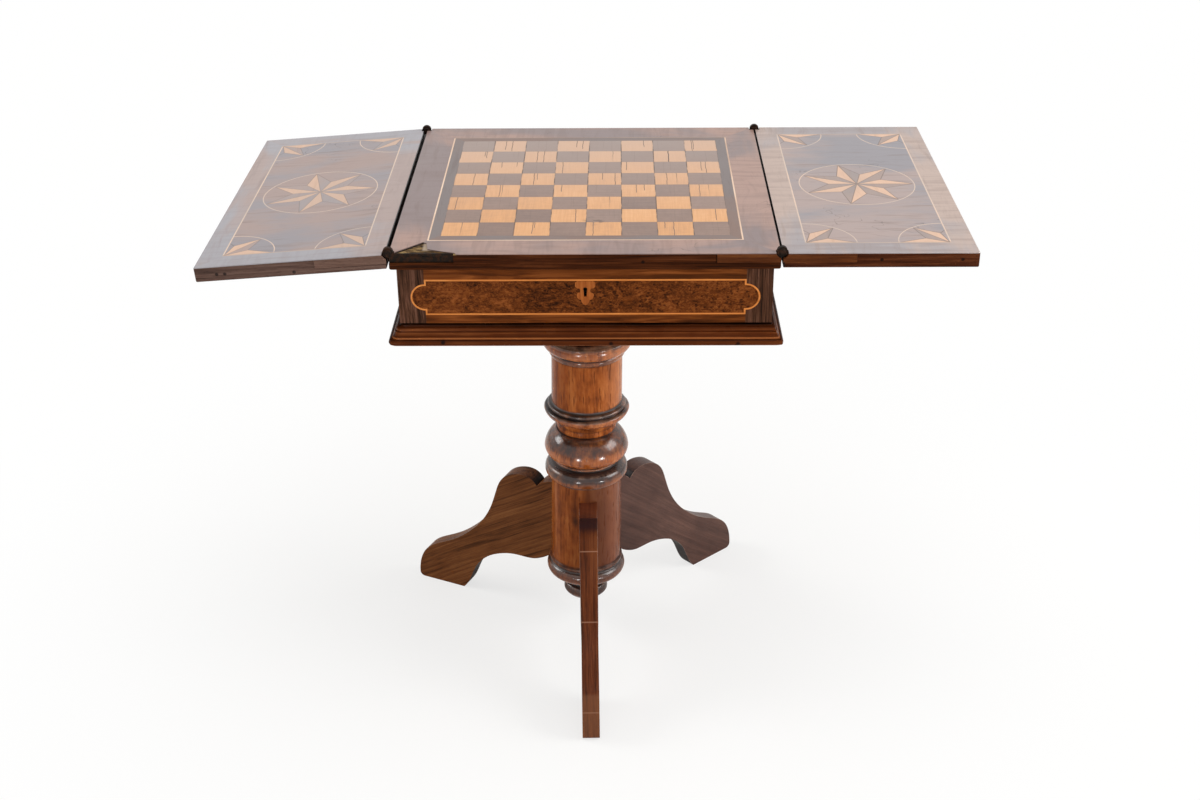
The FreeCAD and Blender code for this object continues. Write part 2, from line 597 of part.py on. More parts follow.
def build_leaf(name, side):
    """One leaf with its inlay, straps, screws and slips. The left leaf hangs a little below level."""
    gap = LEAF_GAP if side > 0 else LEFT_GAP
    start = HINGE_X + gap

    def placed(shape):
        if side > 0:
            return shape
        copy = shape.copy()
        copy.rotate(Vector(-HINGE_X, 0, HINGE_Z), Vector(0, 1, 0), -LEFT_DROOP)
        return copy

    def sided(shape):
        return shape if side > 0 else mirrored_x(shape)

    def both_hinges(shape):
        return [sided(shape), sided(mirrored_y(shape))]

    straps = joined(both_hinges(strap(1, LEAF_STRAP_FACE, RIVET_R + RUNNING_GAP, gap)))
    screws = joined(both_hinges(strap_screws(1, LEAF_STRAP_FACE)))
    notches = both_hinges(eye_notch())
    housings = [copy for cut in strap_housings(1, LEAF_STRAP_FACE + STRAP_THICK, LEAF_COVER_LONG)
                for copy in both_hinges(cut)]

    board = block(start, LEAF_EDGE, -TOP_HALF, TOP_HALF, LEAF_UNDER_Z, CORE_Z)
    lower = [edge for edge in board.Edges if edge.BoundBox.ZMax < LEAF_UNDER_Z + PAST]
    board = sided(board.makeFillet(LEAF_ROUND, lower)).cut(housings + notches).cut(screws)
    lines, light, dark, inside = leaf_inlay(side)
    border = sided(block(start, LEAF_EDGE, -TOP_HALF, TOP_HALF, CORE_Z, TOP_Z))

    export(name + "_board", placed(board.removeSplitter()))
    export(name + "_field", placed(joined([inside.cut(lines + light + dark)])))
    export(name + "_border", placed(joined([border.cut([inside, lines[0]] + notches)])))
    export(name + "_stringing", placed(joined(lines)))
    export(name + "_light_points", placed(joined(light)))
    export(name + "_dark_points", placed(joined(dark)))
    export(name + "_hinge_straps", placed(straps.cut(screws)))
    export(name + "_hinge_screws", placed(screws))
    export(name + "_hinge_covers", placed(joined(both_hinges(cover(1, LEAF_COVER_LONG, gap)))))


# Drawer ------------------------------------------------------------------------------------------
def cartouche(inset, y0, y1):
    """The long panel with stepped shoulders and round ends, inside the given inset from its outer edge."""
    z0, z1 = PANEL_Z[0] + inset, PANEL_Z[1] - inset
    middle = (z0 + z1) / 2
    long = block(-PANEL_X + inset, PANEL_X - inset, y0, y1, z0, z1)
    radius = (PANEL_Z[1] - PANEL_Z[0]) / 2 - PANEL_STEP - inset
    ends = [rod(radius, (x, y0, middle), (x, y1, middle)) for x in (-PANEL_X, PANEL_X)]
    return long.fuse(ends).removeSplitter()


def keyhole(y0, y1):
    """The keyhole: a round head above a tapering slot."""
    head = rod(KEYHOLE_R, (0, y0, KEYHOLE_Z), (0, y1, KEYHOLE_Z))
    wide, narrow = KEYHOLE_SLOT
    slot = outline([(-wide, KEYHOLE_Z), (wide, KEYHOLE_Z), (narrow, KEYHOLE_LOW_Z), (-narrow, KEYHOLE_LOW_Z),
                    (-wide, KEYHOLE_Z)])
    return head.fuse(slab(slot, y0, y1)).removeSplitter()


def escutcheon_blank(y0, y1):
    """The outline of the wooden keyhole plate: two upper lobes, a waist, two lower lobes and a tip."""
    half = slab(outline([
        (0.0, 690.4), (8.9, 690.4), (11.2, 690.0, 13.1, 685.6), (12.4, 682.0, 8.0, 680.4),
        (6.4, 677.2, 7.6, 674.4), (10.7, 672.4, 10.4, 668.8), (9.0, 665.6, 5.4, 664.4),
        (4.3, 660.2, 0.0, 656.5), (0.0, 690.4),
    ]), y0, y1)
    return half.fuse(mirrored_x(half)).removeSplitter()


def drawer_back():
    """The drawer's back, with dovetail pins through the sides."""
    top = DRAWER_SIDE_Z[1] - DRAWER_BACK_DROP
    back = block(-DRAWER_INNER, DRAWER_INNER, DRAWER_BACK_Y - DRAWER_WALL, DRAWER_BACK_Y,
                 DRAWER_BOTTOM_Z + DRAWER_BOTTOM_THICK, top)
    end, root = DOVETAIL_HALF
    pins = []
    for z in DOVETAIL_Z:
        pin = slab(outline([(DRAWER_INNER, z - root), (DRAWER_SIDE_X, z - end), (DRAWER_SIDE_X, z + end),
                            (DRAWER_INNER, z + root), (DRAWER_INNER, z - root)]),
                   DRAWER_BACK_Y - DRAWER_WALL, DRAWER_BACK_Y)
        pins += [pin, mirrored_x(pin)]
    return back.fuse(pins).removeSplitter()


def lock_blank():
    """The whole lock before it is hollowed: its box, its flange and the strip along the top."""
    top, flange = FRONT_Z[1], LOCK_FLANGE_HALF
    return block(-LOCK_HALF, LOCK_HALF, FRONT_BACK - LOCK_DEEP, FRONT_BACK, LOCK_Z, top).fuse([
        block(-flange, flange, FRONT_BACK - LOCK_DEEP, FRONT_BACK, top - LOCK_EDGE, top),
        block(-flange, flange, FRONT_BACK, FRONT_BACK + LOCK_PLATE, LOCK_FLANGE_Z, top)])


def lock_case(blank, key_way):
    """The lock's hollow case, with a slot for the bolt, a keyhole and the pin that the key turns on."""
    top, face = FRONT_Z[1], FRONT_BACK - LOCK_DEEP
    half = LOCK_HALF - LOCK_WALL
    cavity = block(-half, half, face + LOCK_FACE_WALL, FRONT_BACK, LOCK_Z + LOCK_WALL, top - LOCK_EDGE)
    wide = BOLT_HALF + BOLT_GAP
    slot = block(-wide, wide, face + LOCK_WALL - BOLT_GAP, FRONT_BACK - LOCK_WALL + BOLT_GAP,
                 top - LOCK_EDGE - PAST, top)
    pin = rod(KEY_PIN_R, (0, face + LOCK_FACE_WALL / 2, KEYHOLE_Z),
              (0, FRONT_BACK + LOCK_PLATE / 2, KEYHOLE_Z))
    return blank.cut(cavity).cut([slot, key_way]).fuse(pin)


def lock_bolt():
    """The bolt that rises from the lock, notched below for the key."""
    y0, y1 = FRONT_BACK - LOCK_DEEP + LOCK_WALL, FRONT_BACK - LOCK_WALL
    bolt = block(-BOLT_HALF, BOLT_HALF, y0, y1, BOLT_Z, FRONT_Z[1] - BOLT_DROP)
    wide, narrow = BOLT_NOTCH
    low, high = BOLT_Z - PAST, BOLT_Z + BOLT_NOTCH_HIGH
    notch = outline([(-wide, low), (wide, low), (narrow, high), (-narrow, high), (-wide, low)])
    return bolt.cut(slab(notch, y0, y1))


def build_drawer():
    """The drawer box, its veneered front, the keyhole plate and the lock with its bolt."""
    bottom = block(-DRAWER_INNER - PANEL_GROOVE, DRAWER_INNER + PANEL_GROOVE,
                   FRONT_BACK - PANEL_GROOVE, DRAWER_BACK_Y,
                   DRAWER_BOTTOM_Z, DRAWER_BOTTOM_Z + DRAWER_BOTTOM_THICK)
    back = drawer_back()
    side = block(DRAWER_INNER, DRAWER_SIDE_X, FRONT_BACK - FRONT_LAP, DRAWER_BACK_Y, *DRAWER_SIDE_Z)
    side = side.cut(block(DRAWER_INNER, DRAWER_SIDE_X, FRONT_BACK - FRONT_LAP, FRONT_BACK,
                          DRAWER_SIDE_Z[0], FRONT_Z[0] + FRONT_LAP))
    right_side = side.cut(bottom).cut(back)
    left_side = mirrored_x(side).cut(bottom).cut(back)

    screw_x = (LOCK_HALF + LOCK_FLANGE_HALF) / 2
    screws = joined([screw(LOCK_SCREW_R, LOCK_SCREW_LONG, (x, FRONT_BACK + LOCK_PLATE, z), 90)
                     for x in (-screw_x, screw_x) for z in (LOCK_Z, LOCK_SCREW_Z)])
    key_way = keyhole(FRONT_FACE - PAST, FRONT_BACK - LOCK_DEEP + KEYHOLE_PAST)
    blank = lock_blank()
    front = block(-CASE_HALF, CASE_HALF, FRONT_CORE, FRONT_BACK, *FRONT_Z)
    front = front.cut([right_side, left_side, bottom, blank, key_way, screws])

    panel = cartouche(0, FRONT_FACE, FRONT_CORE)
    burl = block(-PANEL_X, PANEL_X, FRONT_FACE, FRONT_CORE, *FRONT_Z).fuse(panel)
    line = panel.cut(cartouche(PANEL_LINE, FRONT_FACE, FRONT_CORE))
    keyhole_plate = escutcheon_blank(FRONT_FACE, FRONT_CORE)
    bands = block(-CASE_HALF, CASE_HALF, FRONT_FACE, FRONT_CORE, *FRONT_Z).cut(burl)

    export("drawer_front", front.removeSplitter())
    export("drawer_burl_panel", joined([burl.cut([line, keyhole_plate])]))
    export("drawer_end_bands", joined([bands]))
    export("drawer_stringing", line)
    export("escutcheon", keyhole_plate.cut(key_way))
    export("drawer_right_side", right_side)
    export("drawer_left_side", left_side)
    export("drawer_back", back)
    export("drawer_bottom", bottom)
    export("lock_case", lock_case(blank, key_way).cut(screws).removeSplitter())
    export("lock_screws", screws)
    export("lock_bolt", lock_bolt())


os.makedirs("parts", exist_ok=True)
build_pillar()
build_box()
build_top()
build_leaf("right_leaf", 1)
build_leaf("left_leaf", -1)
build_drawer()
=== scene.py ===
import logging
import math
from collections.abc import Callable, Sequence
from dataclasses import dataclass, replace
from enum import Enum
from functools import reduce

import bmesh
import bpy
import numpy as np
from mathutils import Matrix, Vector


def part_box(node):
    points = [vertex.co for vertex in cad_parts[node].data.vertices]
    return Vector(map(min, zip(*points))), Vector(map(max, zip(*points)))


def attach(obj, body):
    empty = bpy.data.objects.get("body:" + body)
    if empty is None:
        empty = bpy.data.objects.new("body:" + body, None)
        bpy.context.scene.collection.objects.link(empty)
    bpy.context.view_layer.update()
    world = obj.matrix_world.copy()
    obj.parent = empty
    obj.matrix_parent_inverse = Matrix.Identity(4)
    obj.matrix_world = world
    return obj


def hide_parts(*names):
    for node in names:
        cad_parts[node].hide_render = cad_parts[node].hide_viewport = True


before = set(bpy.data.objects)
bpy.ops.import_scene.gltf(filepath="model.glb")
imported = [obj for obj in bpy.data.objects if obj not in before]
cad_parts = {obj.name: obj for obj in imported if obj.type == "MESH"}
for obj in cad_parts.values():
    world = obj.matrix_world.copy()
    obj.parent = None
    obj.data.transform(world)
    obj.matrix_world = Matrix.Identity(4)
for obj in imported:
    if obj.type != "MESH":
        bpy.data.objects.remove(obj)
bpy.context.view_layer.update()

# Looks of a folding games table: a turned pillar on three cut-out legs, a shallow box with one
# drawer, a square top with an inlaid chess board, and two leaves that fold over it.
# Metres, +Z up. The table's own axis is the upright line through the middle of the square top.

LOG = logging.getLogger("games_table")

RGB = tuple[float, float, float]
Triple = tuple[float, float, float]
Span = tuple[float, float]         # a mark starts at the first place and is full at the second
Table = tuple[tuple[float, ...], ...]
Stops = Sequence[tuple[float, RGB]]        # places on a scale and their colours
Socket = bpy.types.NodeSocket
Number = float | Socket
Points = np.ndarray
Choice = Callable[[Points], np.ndarray]

MM = 0.001
LOW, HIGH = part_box("top_board")
AXIS = ((LOW.x + HIGH.x) / 2, (LOW.y + HIGH.y) / 2)     # the table's own axis on the floor
TOP_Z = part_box("top_banding")[1].z                      # playing surface
CORE_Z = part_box("top_board")[1].z                       # underside of the veneer
TOP_HALF = 0.250
SQUARE = 0.04725
FIELD_HALF = 4 * SQUARE
HINGE_X = 0.2512
HINGE_Z = TOP_Z + 0.0002
LEFT_DROOP = math.radians(4.2)
LEAF_CENTRE = 0.1258                                    # of the leaf's inlay, from the hinge
INLAY_X, INLAY_Y = 0.0922, 0.2152                       # half size of the field inside the leaf's line
RING_R = 0.081                                          # of the ring round the leaf's star
STAR = (0.079, 0.0395)                                  # radius of a star's tips and inner corners
FAN = (0.064, 0.032)                                    # the same of a corner fan
BEARER_Z = 0.5845                                       # underside of the bearer
PILLAR_X = -0.0024                                      # of the pillar's axis at that height
PILLAR_LEAN = math.radians(0.85)
TOUCH = 0.0002                                          # a point this near to a plane lies in it
ARRIS = 25.0                                            # degrees between two faces, for an eased edge
CREASE = 38.0                                           # and for one that isn't shaded round
FLAT = math.radians(0.4)                                # faces within this are one
DOUBLED = 2e-6                                          # points within this are one
OTHER_STRIPS = 3.1                                      # sets two strips of a frame apart from the others


# Node helpers -------------------------------------------------------------------------------------
class Net:
    """The nodes of one material, made from left to right by short calls."""

    def __init__(self, name: str) -> None:
        """Starts an empty material.

        Args:
            name: the material's name.
        """
        self.material = bpy.data.materials.new(name)
        self.material.use_nodes = True
        self.tree = self.material.node_tree
        self.tree.nodes.clear()

    def fill(self, socket: Socket, value: Number | Sequence[float]) -> None:
        """Links a value to an input, or writes it there.

        Args:
            socket: the input.
            value: an output of another node, a number, or a vector or colour.
        """
        if isinstance(value, Socket):
            self.tree.links.new(value, socket)
        elif isinstance(value, (tuple, list)):
            socket.default_value = (*value, 1.0) if socket.type == "RGBA" else tuple(value)
        else:
            socket.default_value = value

    def node(self, kind: str, inputs: dict[str | int, object], **options: object) -> bpy.types.Node:
        """Adds a node.

        Args:
            kind: the node's type, without its ShaderNode prefix.
            inputs: what goes into its inputs, by name or number.
            options: its settings.

        Returns:
            The node.
        """
        made = self.tree.nodes.new("ShaderNode" + kind)
        for option, value in options.items():
            setattr(made, option, value)
        for key, value in inputs.items():
            self.fill(made.inputs[key], value)
        return made

    def math(self, operation: str, *values: Number) -> Socket:
        """The result of a Math node on up to three numbers."""
        return self.node("Math", dict(enumerate(values)), operation=operation).outputs[0]

    def total(self, *values: Number) -> Socket:
        """The sum of two or more numbers."""
        return reduce(lambda first, second: self.math("ADD", first, second), values)

    def product(self, *values: Number) -> Socket:
        """The product of two or more numbers."""
        return reduce(lambda first, second: self.math("MULTIPLY", first, second), values)

    def less(self, first: Number, second: Number) -> Socket:
        """The first number less the second."""
        return self.math("SUBTRACT", first, second)

    def size(self, value: Number) -> Socket:
        """A number without its sign."""
        return self.math("ABSOLUTE", value)

    def spread(self, value: Number, gain: float, middle: float = 0.5) -> Socket:
        """A number's distance from its middle, times a gain."""
        return self.product(self.less(value, middle), gain)

    def step(self, value: Number, low: float, high: float) -> Socket:
        """A smooth step: 0 at low, 1 at high. Low may be the larger of the two."""
        inputs = {"Value": value, "From Min": low, "From Max": high}
        return self.node("MapRange", inputs, interpolation_type="SMOOTHSTEP").outputs[0]

    def mix(self, factor: Number, first: RGB | Socket, second: RGB | Socket, blend: str = "MIX") -> Socket:
        """Two colours mixed by a factor.

        Args:
            factor: 0 gives the first colour, 1 the second blended over it.
            first, second: the colours.
            blend: the way they blend.

        Returns:
            The mixed colour.
        """
        made = self.node("Mix", {0: factor, 6: first, 7: second}, data_type="RGBA", blend_type=blend)
        return made.outputs[2]

    def choose(self, factor: Number, first: Number, second: Number) -> Socket:
        """The first number where factor is 0, the second where it is 1."""
        return self.node("Mix", {0: factor, 2: first, 3: second}, data_type="FLOAT").outputs[0]

    def ramp(self, factor: Number, stops: Stops) -> Socket:
        """A colour read off a scale.

        Args:
            factor: where to read, from 0 to 1.
            stops: (place, colour) pairs in rising order.

        Returns:
            The colour.
        """
        made = self.node("ValToRGB", {0: factor})
        scale = made.color_ramp
        while len(scale.elements) < len(stops):
            scale.elements.new(1.0)
        for element, (place, colour) in zip(scale.elements, stops):
            element.position = place
            element.color = (*colour, 1.0)
        return made.outputs[0]

    def place(self, turn: Triple = (0.0, 0.0, 0.0), centre: Triple = (0.0, 0.0, 0.0)) -> Socket:
        """The piece's own coordinates in metres.

        Args:
            turn: the turn, in radians, that brings the piece's axes in line with the table's.
            centre: the point that becomes zero, on the table's own axis.

        Returns:
            The coordinates.
        """
        zero = (centre[0] + AXIS[0], centre[1] + AXIS[1], centre[2])
        spot = self.node("TexCoord", {}).outputs["Object"]
        moved = self.node("VectorMath", {0: spot, 1: zero}, operation="SUBTRACT").outputs[0]
        return self.rotated(moved, turn) if any(turn) else moved

    def rotated(self, vector: Socket, turn: Triple) -> Socket:
        """A vector turned about zero."""
        return self.node("Mapping", {"Vector": vector, "Rotation": turn}, vector_type="POINT").outputs[0]

    def split(self, vector: Socket) -> tuple[Socket, Socket, Socket]:
        """The three numbers of a vector."""
        outputs = self.node("SeparateXYZ", {0: vector}).outputs
        return outputs[0], outputs[1], outputs[2]

    def join(self, x: Number, y: Number, z: Number) -> Socket:
        """A vector of three numbers."""
        return self.node("CombineXYZ", {0: x, 1: y, 2: z}).outputs[0]

    def scaled(self, vector: Socket, scale: Triple) -> Socket:
        """A vector with each number times its own scale."""
        return self.node("VectorMath", {0: vector, 1: scale}, operation="MULTIPLY").outputs[0]

    def distance(self, vector: Socket, point: Triple) -> Socket:
        """The distance of a vector from a fixed point."""
        return self.node("VectorMath", {0: vector, 1: point}, operation="DISTANCE").outputs["Value"]

    def noise(self, vector: Socket, scale: float = 1.0, detail: float = 2.0,
              rough: float = 0.5, distortion: float = 0.0) -> Socket:
        """Fractal noise from 0 to 1, mostly near the middle.

        Args:
            vector: the coordinates.
            scale: features for each unit of them.
            detail: how many finer layers.
            rough: how strong the finer layers are.
            distortion: how far the pattern is swirled.

        Returns:
            The noise.
        """
        inputs = {"Vector": vector, "Scale": scale, "Detail": detail,
                  "Roughness": rough, "Distortion": distortion}
        return self.node("TexNoise", inputs).outputs[0]

    def cells(self, vector: Socket, scale: float = 1.0) -> Socket:
        """A Voronoi pattern: the distance to the nearest of many random points."""
        return self.node("TexVoronoi", {"Vector": vector, "Scale": scale}).outputs[0]

    def attribute(self, name: str) -> Socket:
        """A number stored on the piece's points."""
        return self.node("Attribute", {}, attribute_name=name).outputs["Fac"]

    def bump(self, height: Number, distance: float, strength: float = 1.0) -> Socket:
        """A bumped normal. The height is in units of distance, in metres."""
        inputs = {"Height": height, "Distance": distance, "Strength": strength}
        return self.node("Bump", inputs).outputs[0]

    def surface(self, colour: RGB | Socket, roughness: Number, normal: Socket | None = None,
                **constants: float) -> bpy.types.Material:
        """Ends the net with the shader.

        Args:
            colour: the base colour.
            roughness: the roughness.
            normal: a bumped normal, if there is one.
            constants: other inputs of the shader, by name with _ for a space.

        Returns:
            The material.
        """
        inputs = {"Base Color": colour, "Roughness": roughness}
        if normal is not None:
            inputs["Normal"] = normal
        for name, value in constants.items():
            inputs[name.replace("_", " ")] = value
        shader = self.node("BsdfPrincipled", inputs)
        output = self.node("OutputMaterial", {})
        self.tree.links.new(shader.outputs[0], output.inputs[0])
        return self.material


# Finishes -----------------------------------------------------------------------------------------
class Grain(Enum):
    """The way the grain runs on a piece."""

    ALONG_X = "x"
    ALONG_Y = "y"
    ALONG_Z = "z"
    MITRED = "mitred"          # along each strip of a mitred frame


def lined_up(net: Net, spot: Socket, grain: Grain, seed: float) -> Socket:
    """Coordinates along, across and through the grain.

    Args:
        net: the material's nodes.
        spot: the piece's coordinates.
        grain: the way the grain runs.
        seed: moves the pattern along the grain.

    Returns:
        The coordinates.
    """
    x, y, z = net.split(spot)
    along, across, deep = x, y, z
    if grain is Grain.ALONG_Y:
        along, across = y, x
    elif grain is Grain.ALONG_Z:
        along, across, deep = z, x, y
    elif grain is Grain.MITRED:
        upright = net.math("GREATER_THAN", net.size(x), net.size(y))
        along = net.choose(upright, x, net.total(y, OTHER_STRIPS))
        across = net.choose(upright, y, x)
    return net.join(net.total(along, seed), across, deep)


def dotted(net: Net, spot: Socket, colour: Socket, places: Sequence[tuple[float, float]],
           reach: Span, dark: RGB) -> Socket:
    """A colour with small dark dots in the front face.

    Args:
        net: the material's nodes.
        spot: the piece's coordinates.
        colour: the colour without the dots.
        places: (x, z) of each dot.
        reach: how far from its middle a dot starts, and from where on it is full.
        dark: the colour of the dots.

    Returns:
        The dotted colour.
    """
    x, _, z = net.split(spot)
    flat = net.join(x, 0.0, z)
    for place_x, place_z in places:
        dot = net.step(net.distance(flat, (place_x, 0.0, place_z)), *reach)
        colour = net.mix(net.product(dot, 0.85), colour, dark)
    return colour


@dataclass(frozen=True)
class Wood:
    """A walnut or fruitwood finish, with streaks, pores and clouds."""

    name: str
    dark: RGB
    middle: RGB
    light: RGB
    grain: Grain = Grain.ALONG_X
    streaks: float = 1.0           # strength of the long streaks
    width: float = 0.007           # of one streak
    pores: float = 0.35
    clouds: float = 0.5
    wander: float = 0.020          # how far a streak strays sideways
    roughness: float = 0.38
    specular: float = 0.5
    turn: Triple = (0.0, 0.0, 0.0)
    centre: Triple = (0.0, 0.0, 0.0)
    slope: float = 0.0             # turn of the grain in the piece's upright plane
    squash: Triple = (1.0, 1.0, 1.0)       # how fast the figure changes along each axis
    seed: float = 0.0
    scratches: float = 0.0
    bump: float = 0.00012
    nails: Table = ()              # (x, z) of filled nail holes in the front face
    nail_reach: Span = (0.0028, 0.0016)

    def pattern(self, net: Net, lined: Socket) -> tuple[Socket, Socket, Socket]:
        """The figure of the wood.

        Streaks are noise drawn out along the grain, on coordinates that a slow noise pushes sideways.
        Pores are the peaks of a much finer drawn-out noise.

        Args:
            net: the material's nodes.
            lined: coordinates along, across and through the grain.

        Returns:
            The tone from 0 to 1, the pores from 0 to 1, and the clouds.
        """
        along, across, deep = net.split(lined)
        drift = net.noise(net.scaled(lined, (2.4, 6.0, 6.0)), detail=2.0)
        stray = net.spread(drift, self.wander)
        wavy = net.join(along, net.total(across, stray), net.total(deep, stray))
        fine = 1.0 / self.width
        streaks = net.noise(net.scaled(wavy, (4.5, fine, fine)), detail=4.0, rough=0.62)
        threads = net.noise(net.scaled(wavy, (16.0, 4.5 * fine, 4.5 * fine)), detail=2.0)
        clouds = net.noise(lined, scale=8.0, detail=3.0, rough=0.6)
        tone = net.total(0.5, net.spread(streaks, 1.7 * self.streaks),
                         net.spread(threads, 0.7 * self.streaks), net.spread(clouds, self.clouds))
        dashes = net.noise(net.scaled(wavy, (130.0, 1500.0, 1500.0)), detail=1.0)
        return tone, net.step(dashes, 0.58, 0.72), clouds

    def marked(self, net: Net, spot: Socket, colour: Socket) -> Socket:
        """The colour with the marks of use on it: here the filled nail holes.

        Args:
            net: the material's nodes.
            spot: the piece's coordinates.
            colour: the clean colour.

        Returns:
            The marked colour.
        """
        return dotted(net, spot, colour, self.nails, self.nail_reach, (0.006, 0.003, 0.002))

    def material(self) -> bpy.types.Material:
        """The finish as a material."""
        net = Net(self.name)
        spot = net.place(self.turn, self.centre)
        sloped = net.rotated(spot, (0.0, self.slope, 0.0)) if self.slope else spot
        figure = net.scaled(sloped, self.squash)
        tone, pores, clouds = self.pattern(net, lined_up(net, figure, self.grain, self.seed))
        colour = net.ramp(tone, [(0.12, self.dark), (0.5, self.middle), (0.88, self.light)])
        colour = net.mix(net.product(pores, self.pores), colour, self.dark, "MULTIPLY")
        rough = net.total(net.spread(clouds, 0.25), self.roughness)
        if self.scratches:
            lines = net.noise(net.scaled(sloped, (700.0, 45.0, 300.0)), detail=1.0)
            marks = net.product(net.step(lines, 0.66, 0.74), self.scratches)
            colour = net.mix(marks, colour, self.light)
        colour = self.marked(net, spot, colour)
        height = net.less(net.product(tone, 0.25), net.product(pores, 0.8))
        return net.surface(colour, rough, net.bump(height, self.bump), Specular_IOR_Level=self.specular)


@dataclass(frozen=True)
class TopBoard(Wood):
    """The edge of the top, with painted shade in the hinge gaps and torn wood where the veneer is lost."""

    # colour of the painted shade on the faces in the hinge gaps
    grime_and_shade: RGB = (0.012, 0.007, 0.005)
    lost_x: Span = (-0.160, -0.166)        # of the patch without its veneer
    lost_y: Span = (-0.200, -0.206)
    lost_z: Span = (CORE_Z - 0.0008, CORE_Z - 0.0003)
    worn_x: Span = (-0.210, -0.206)        # of the pale worn place in it
    worn_y: Span = (-0.238, -0.233)
    shadow: Span = (0.0075, 0.002)         # painted shadow of the lifted veneer, along its slanting edge, where x less y is this
    fibres: Stops = ((0.40, (0.012, 0.007, 0.004)), (0.53, (0.10, 0.050, 0.015)),
                     (0.66, (0.46, 0.32, 0.13)))
    worn: RGB = (0.46, 0.36, 0.27)
    # colour of the painted shadow along the slanting edge
    black: RGB = (0.004, 0.003, 0.002)

    def marked(self, net: Net, spot: Socket, colour: Socket) -> Socket:
        """Nail holes, painted shade in the hinge gaps beside the leaves, and the torn yellow-brown wood of
        the corner with a painted shadow along its slanting edge.

        Args:
            net: the material's nodes.
            spot: the piece's coordinates.
            colour: the clean colour.

        Returns:
            The marked colour.
        """
        colour = super().marked(net, spot, colour)
        x, y, z = net.split(spot)
        # painted shade on the faces in the hinge gap
        gap = net.step(net.size(x), TOP_HALF - 0.0005, TOP_HALF - TOUCH)
        colour = net.mix(gap, colour, self.grime_and_shade)
        lost = net.product(net.step(z, *self.lost_z), net.step(x, *self.lost_x), net.step(y, *self.lost_y))
        fibres = net.noise(net.scaled(spot, (75.0, 420.0, 1.0)), detail=4.0, rough=0.7, distortion=0.3)
        torn = net.ramp(fibres, self.fibres)
        rubbed = net.product(net.step(x, *self.worn_x), net.step(y, *self.worn_y), 0.7)
        torn = net.mix(rubbed, torn, self.worn)
        # painted shadow along the slanting edge, where the veneer is lifted
        torn = net.mix(net.step(net.less(x, y), *self.shadow), torn, self.black)
        return net.mix(lost, colour, torn)


@dataclass(frozen=True)
class LeafBoard(Wood):
    """The edge of a leaf, with painted shade on the face that looks at the hinge."""

    # colour of the painted shade in the hinge gap
    grime_and_shade: RGB = (0.014, 0.008, 0.006)
    gap: Span = (0.0036, 0.0032)           # from the hinge

    def marked(self, net: Net, spot: Socket, colour: Socket) -> Socket:
        """Nail holes and painted shade on the face in the hinge gap."""
        colour = super().marked(net, spot, colour)
        return net.mix(net.step(net.size(net.split(spot)[0]), *self.gap), colour, self.grime_and_shade)


@dataclass(frozen=True)
class BoardLine(Wood):
    """The pale line round the chess board, with painted shade along the back."""

    back_shade: RGB = (0.06, 0.04, 0.033)
    back: Span = (0.200, 0.206)

    def marked(self, net: Net, spot: Socket, colour: Socket) -> Socket:
        """Painted shade along the back side."""
        return net.mix(net.product(net.step(net.split(spot)[1], *self.back), 0.8), colour, self.back_shade)


@dataclass(frozen=True)
class LegWood(Wood):
    """A leg's walnut in the leg's own upright plane: x goes from the pillar to the toe."""

    crest: float = 0.0             # how dark the crest is painted, as shade
    highlight_lines: Table = ()         # (height, from which x on, strength) of painted highlight lines across the back
    crest_z: Span = (0.195, 0.205)
    crest_start: Span = (0.086, 0.096)
    crest_end: Span = (0.136, 0.118)
    red_x: Span = (0.086, 0.078)           # of the redder stain next to the pillar
    pad_x: Span = (0.286, 0.292)           # of the paler toe
    line_reach: Span = (0.0011, 0.0003)    # from a worn line's middle
    narrow: Span = (0.9, 0.6)              # how far a face of the leg's edge looks sideways, at most
    inner: Span = (-0.35, -0.75)           # how far a face looks at the pillar, where it takes painted shade
    # colour of the crest's painted shade
    stain_and_shade: RGB = (0.022, 0.010, 0.012)
    red: RGB = (0.14, 0.035, 0.018)
    # colour of the painted highlight lines
    worn: RGB = (0.42, 0.22, 0.14)
    pad: RGB = (0.19, 0.085, 0.045)
    pillar_side_shade: RGB = (0.006, 0.005, 0.006)

    def marked(self, net: Net, spot: Socket, colour: Socket) -> Socket:
        """A crest painted darker as shade, painted highlight lines across the back, and painted shade on
        the faces that look at the pillar.

        Args:
            net: the material's nodes.
            spot: the leg's coordinates.
            colour: the clean colour.

        Returns:
            The marked colour.
        """
        x, _, z = net.split(spot)
        face = net.node("NewGeometry", {}).outputs["True Normal"]
        inwards, sideways, _ = net.split(net.rotated(face, self.turn))
        edge = net.product(net.step(net.size(sideways), *self.narrow), self.crest)
        crown = net.product(net.step(z, *self.crest_z), edge)
        # painted shade on the crest
        shaded_crest = net.product(net.step(x, *self.crest_start), net.step(x, *self.crest_end), crown)
        colour = net.mix(shaded_crest, colour, self.stain_and_shade)
        colour = net.mix(net.product(net.step(x, *self.red_x), crown, 0.5), colour, self.red)
        # painted highlight lines across the leg's back
        for height, start, strength in self.highlight_lines:
            near = net.step(net.size(net.less(z, height)), *self.line_reach)
            line = net.product(near, net.step(x, start, start + 0.01), edge, strength)
            colour = net.mix(line, colour, self.worn)
        colour = net.mix(net.product(net.step(x, *self.pad_x), edge, 0.45), colour, self.pad)
        # painted shade on the faces that look at the pillar
        return net.mix(net.product(net.step(inwards, *self.inner), 0.9), colour, self.pillar_side_shade)


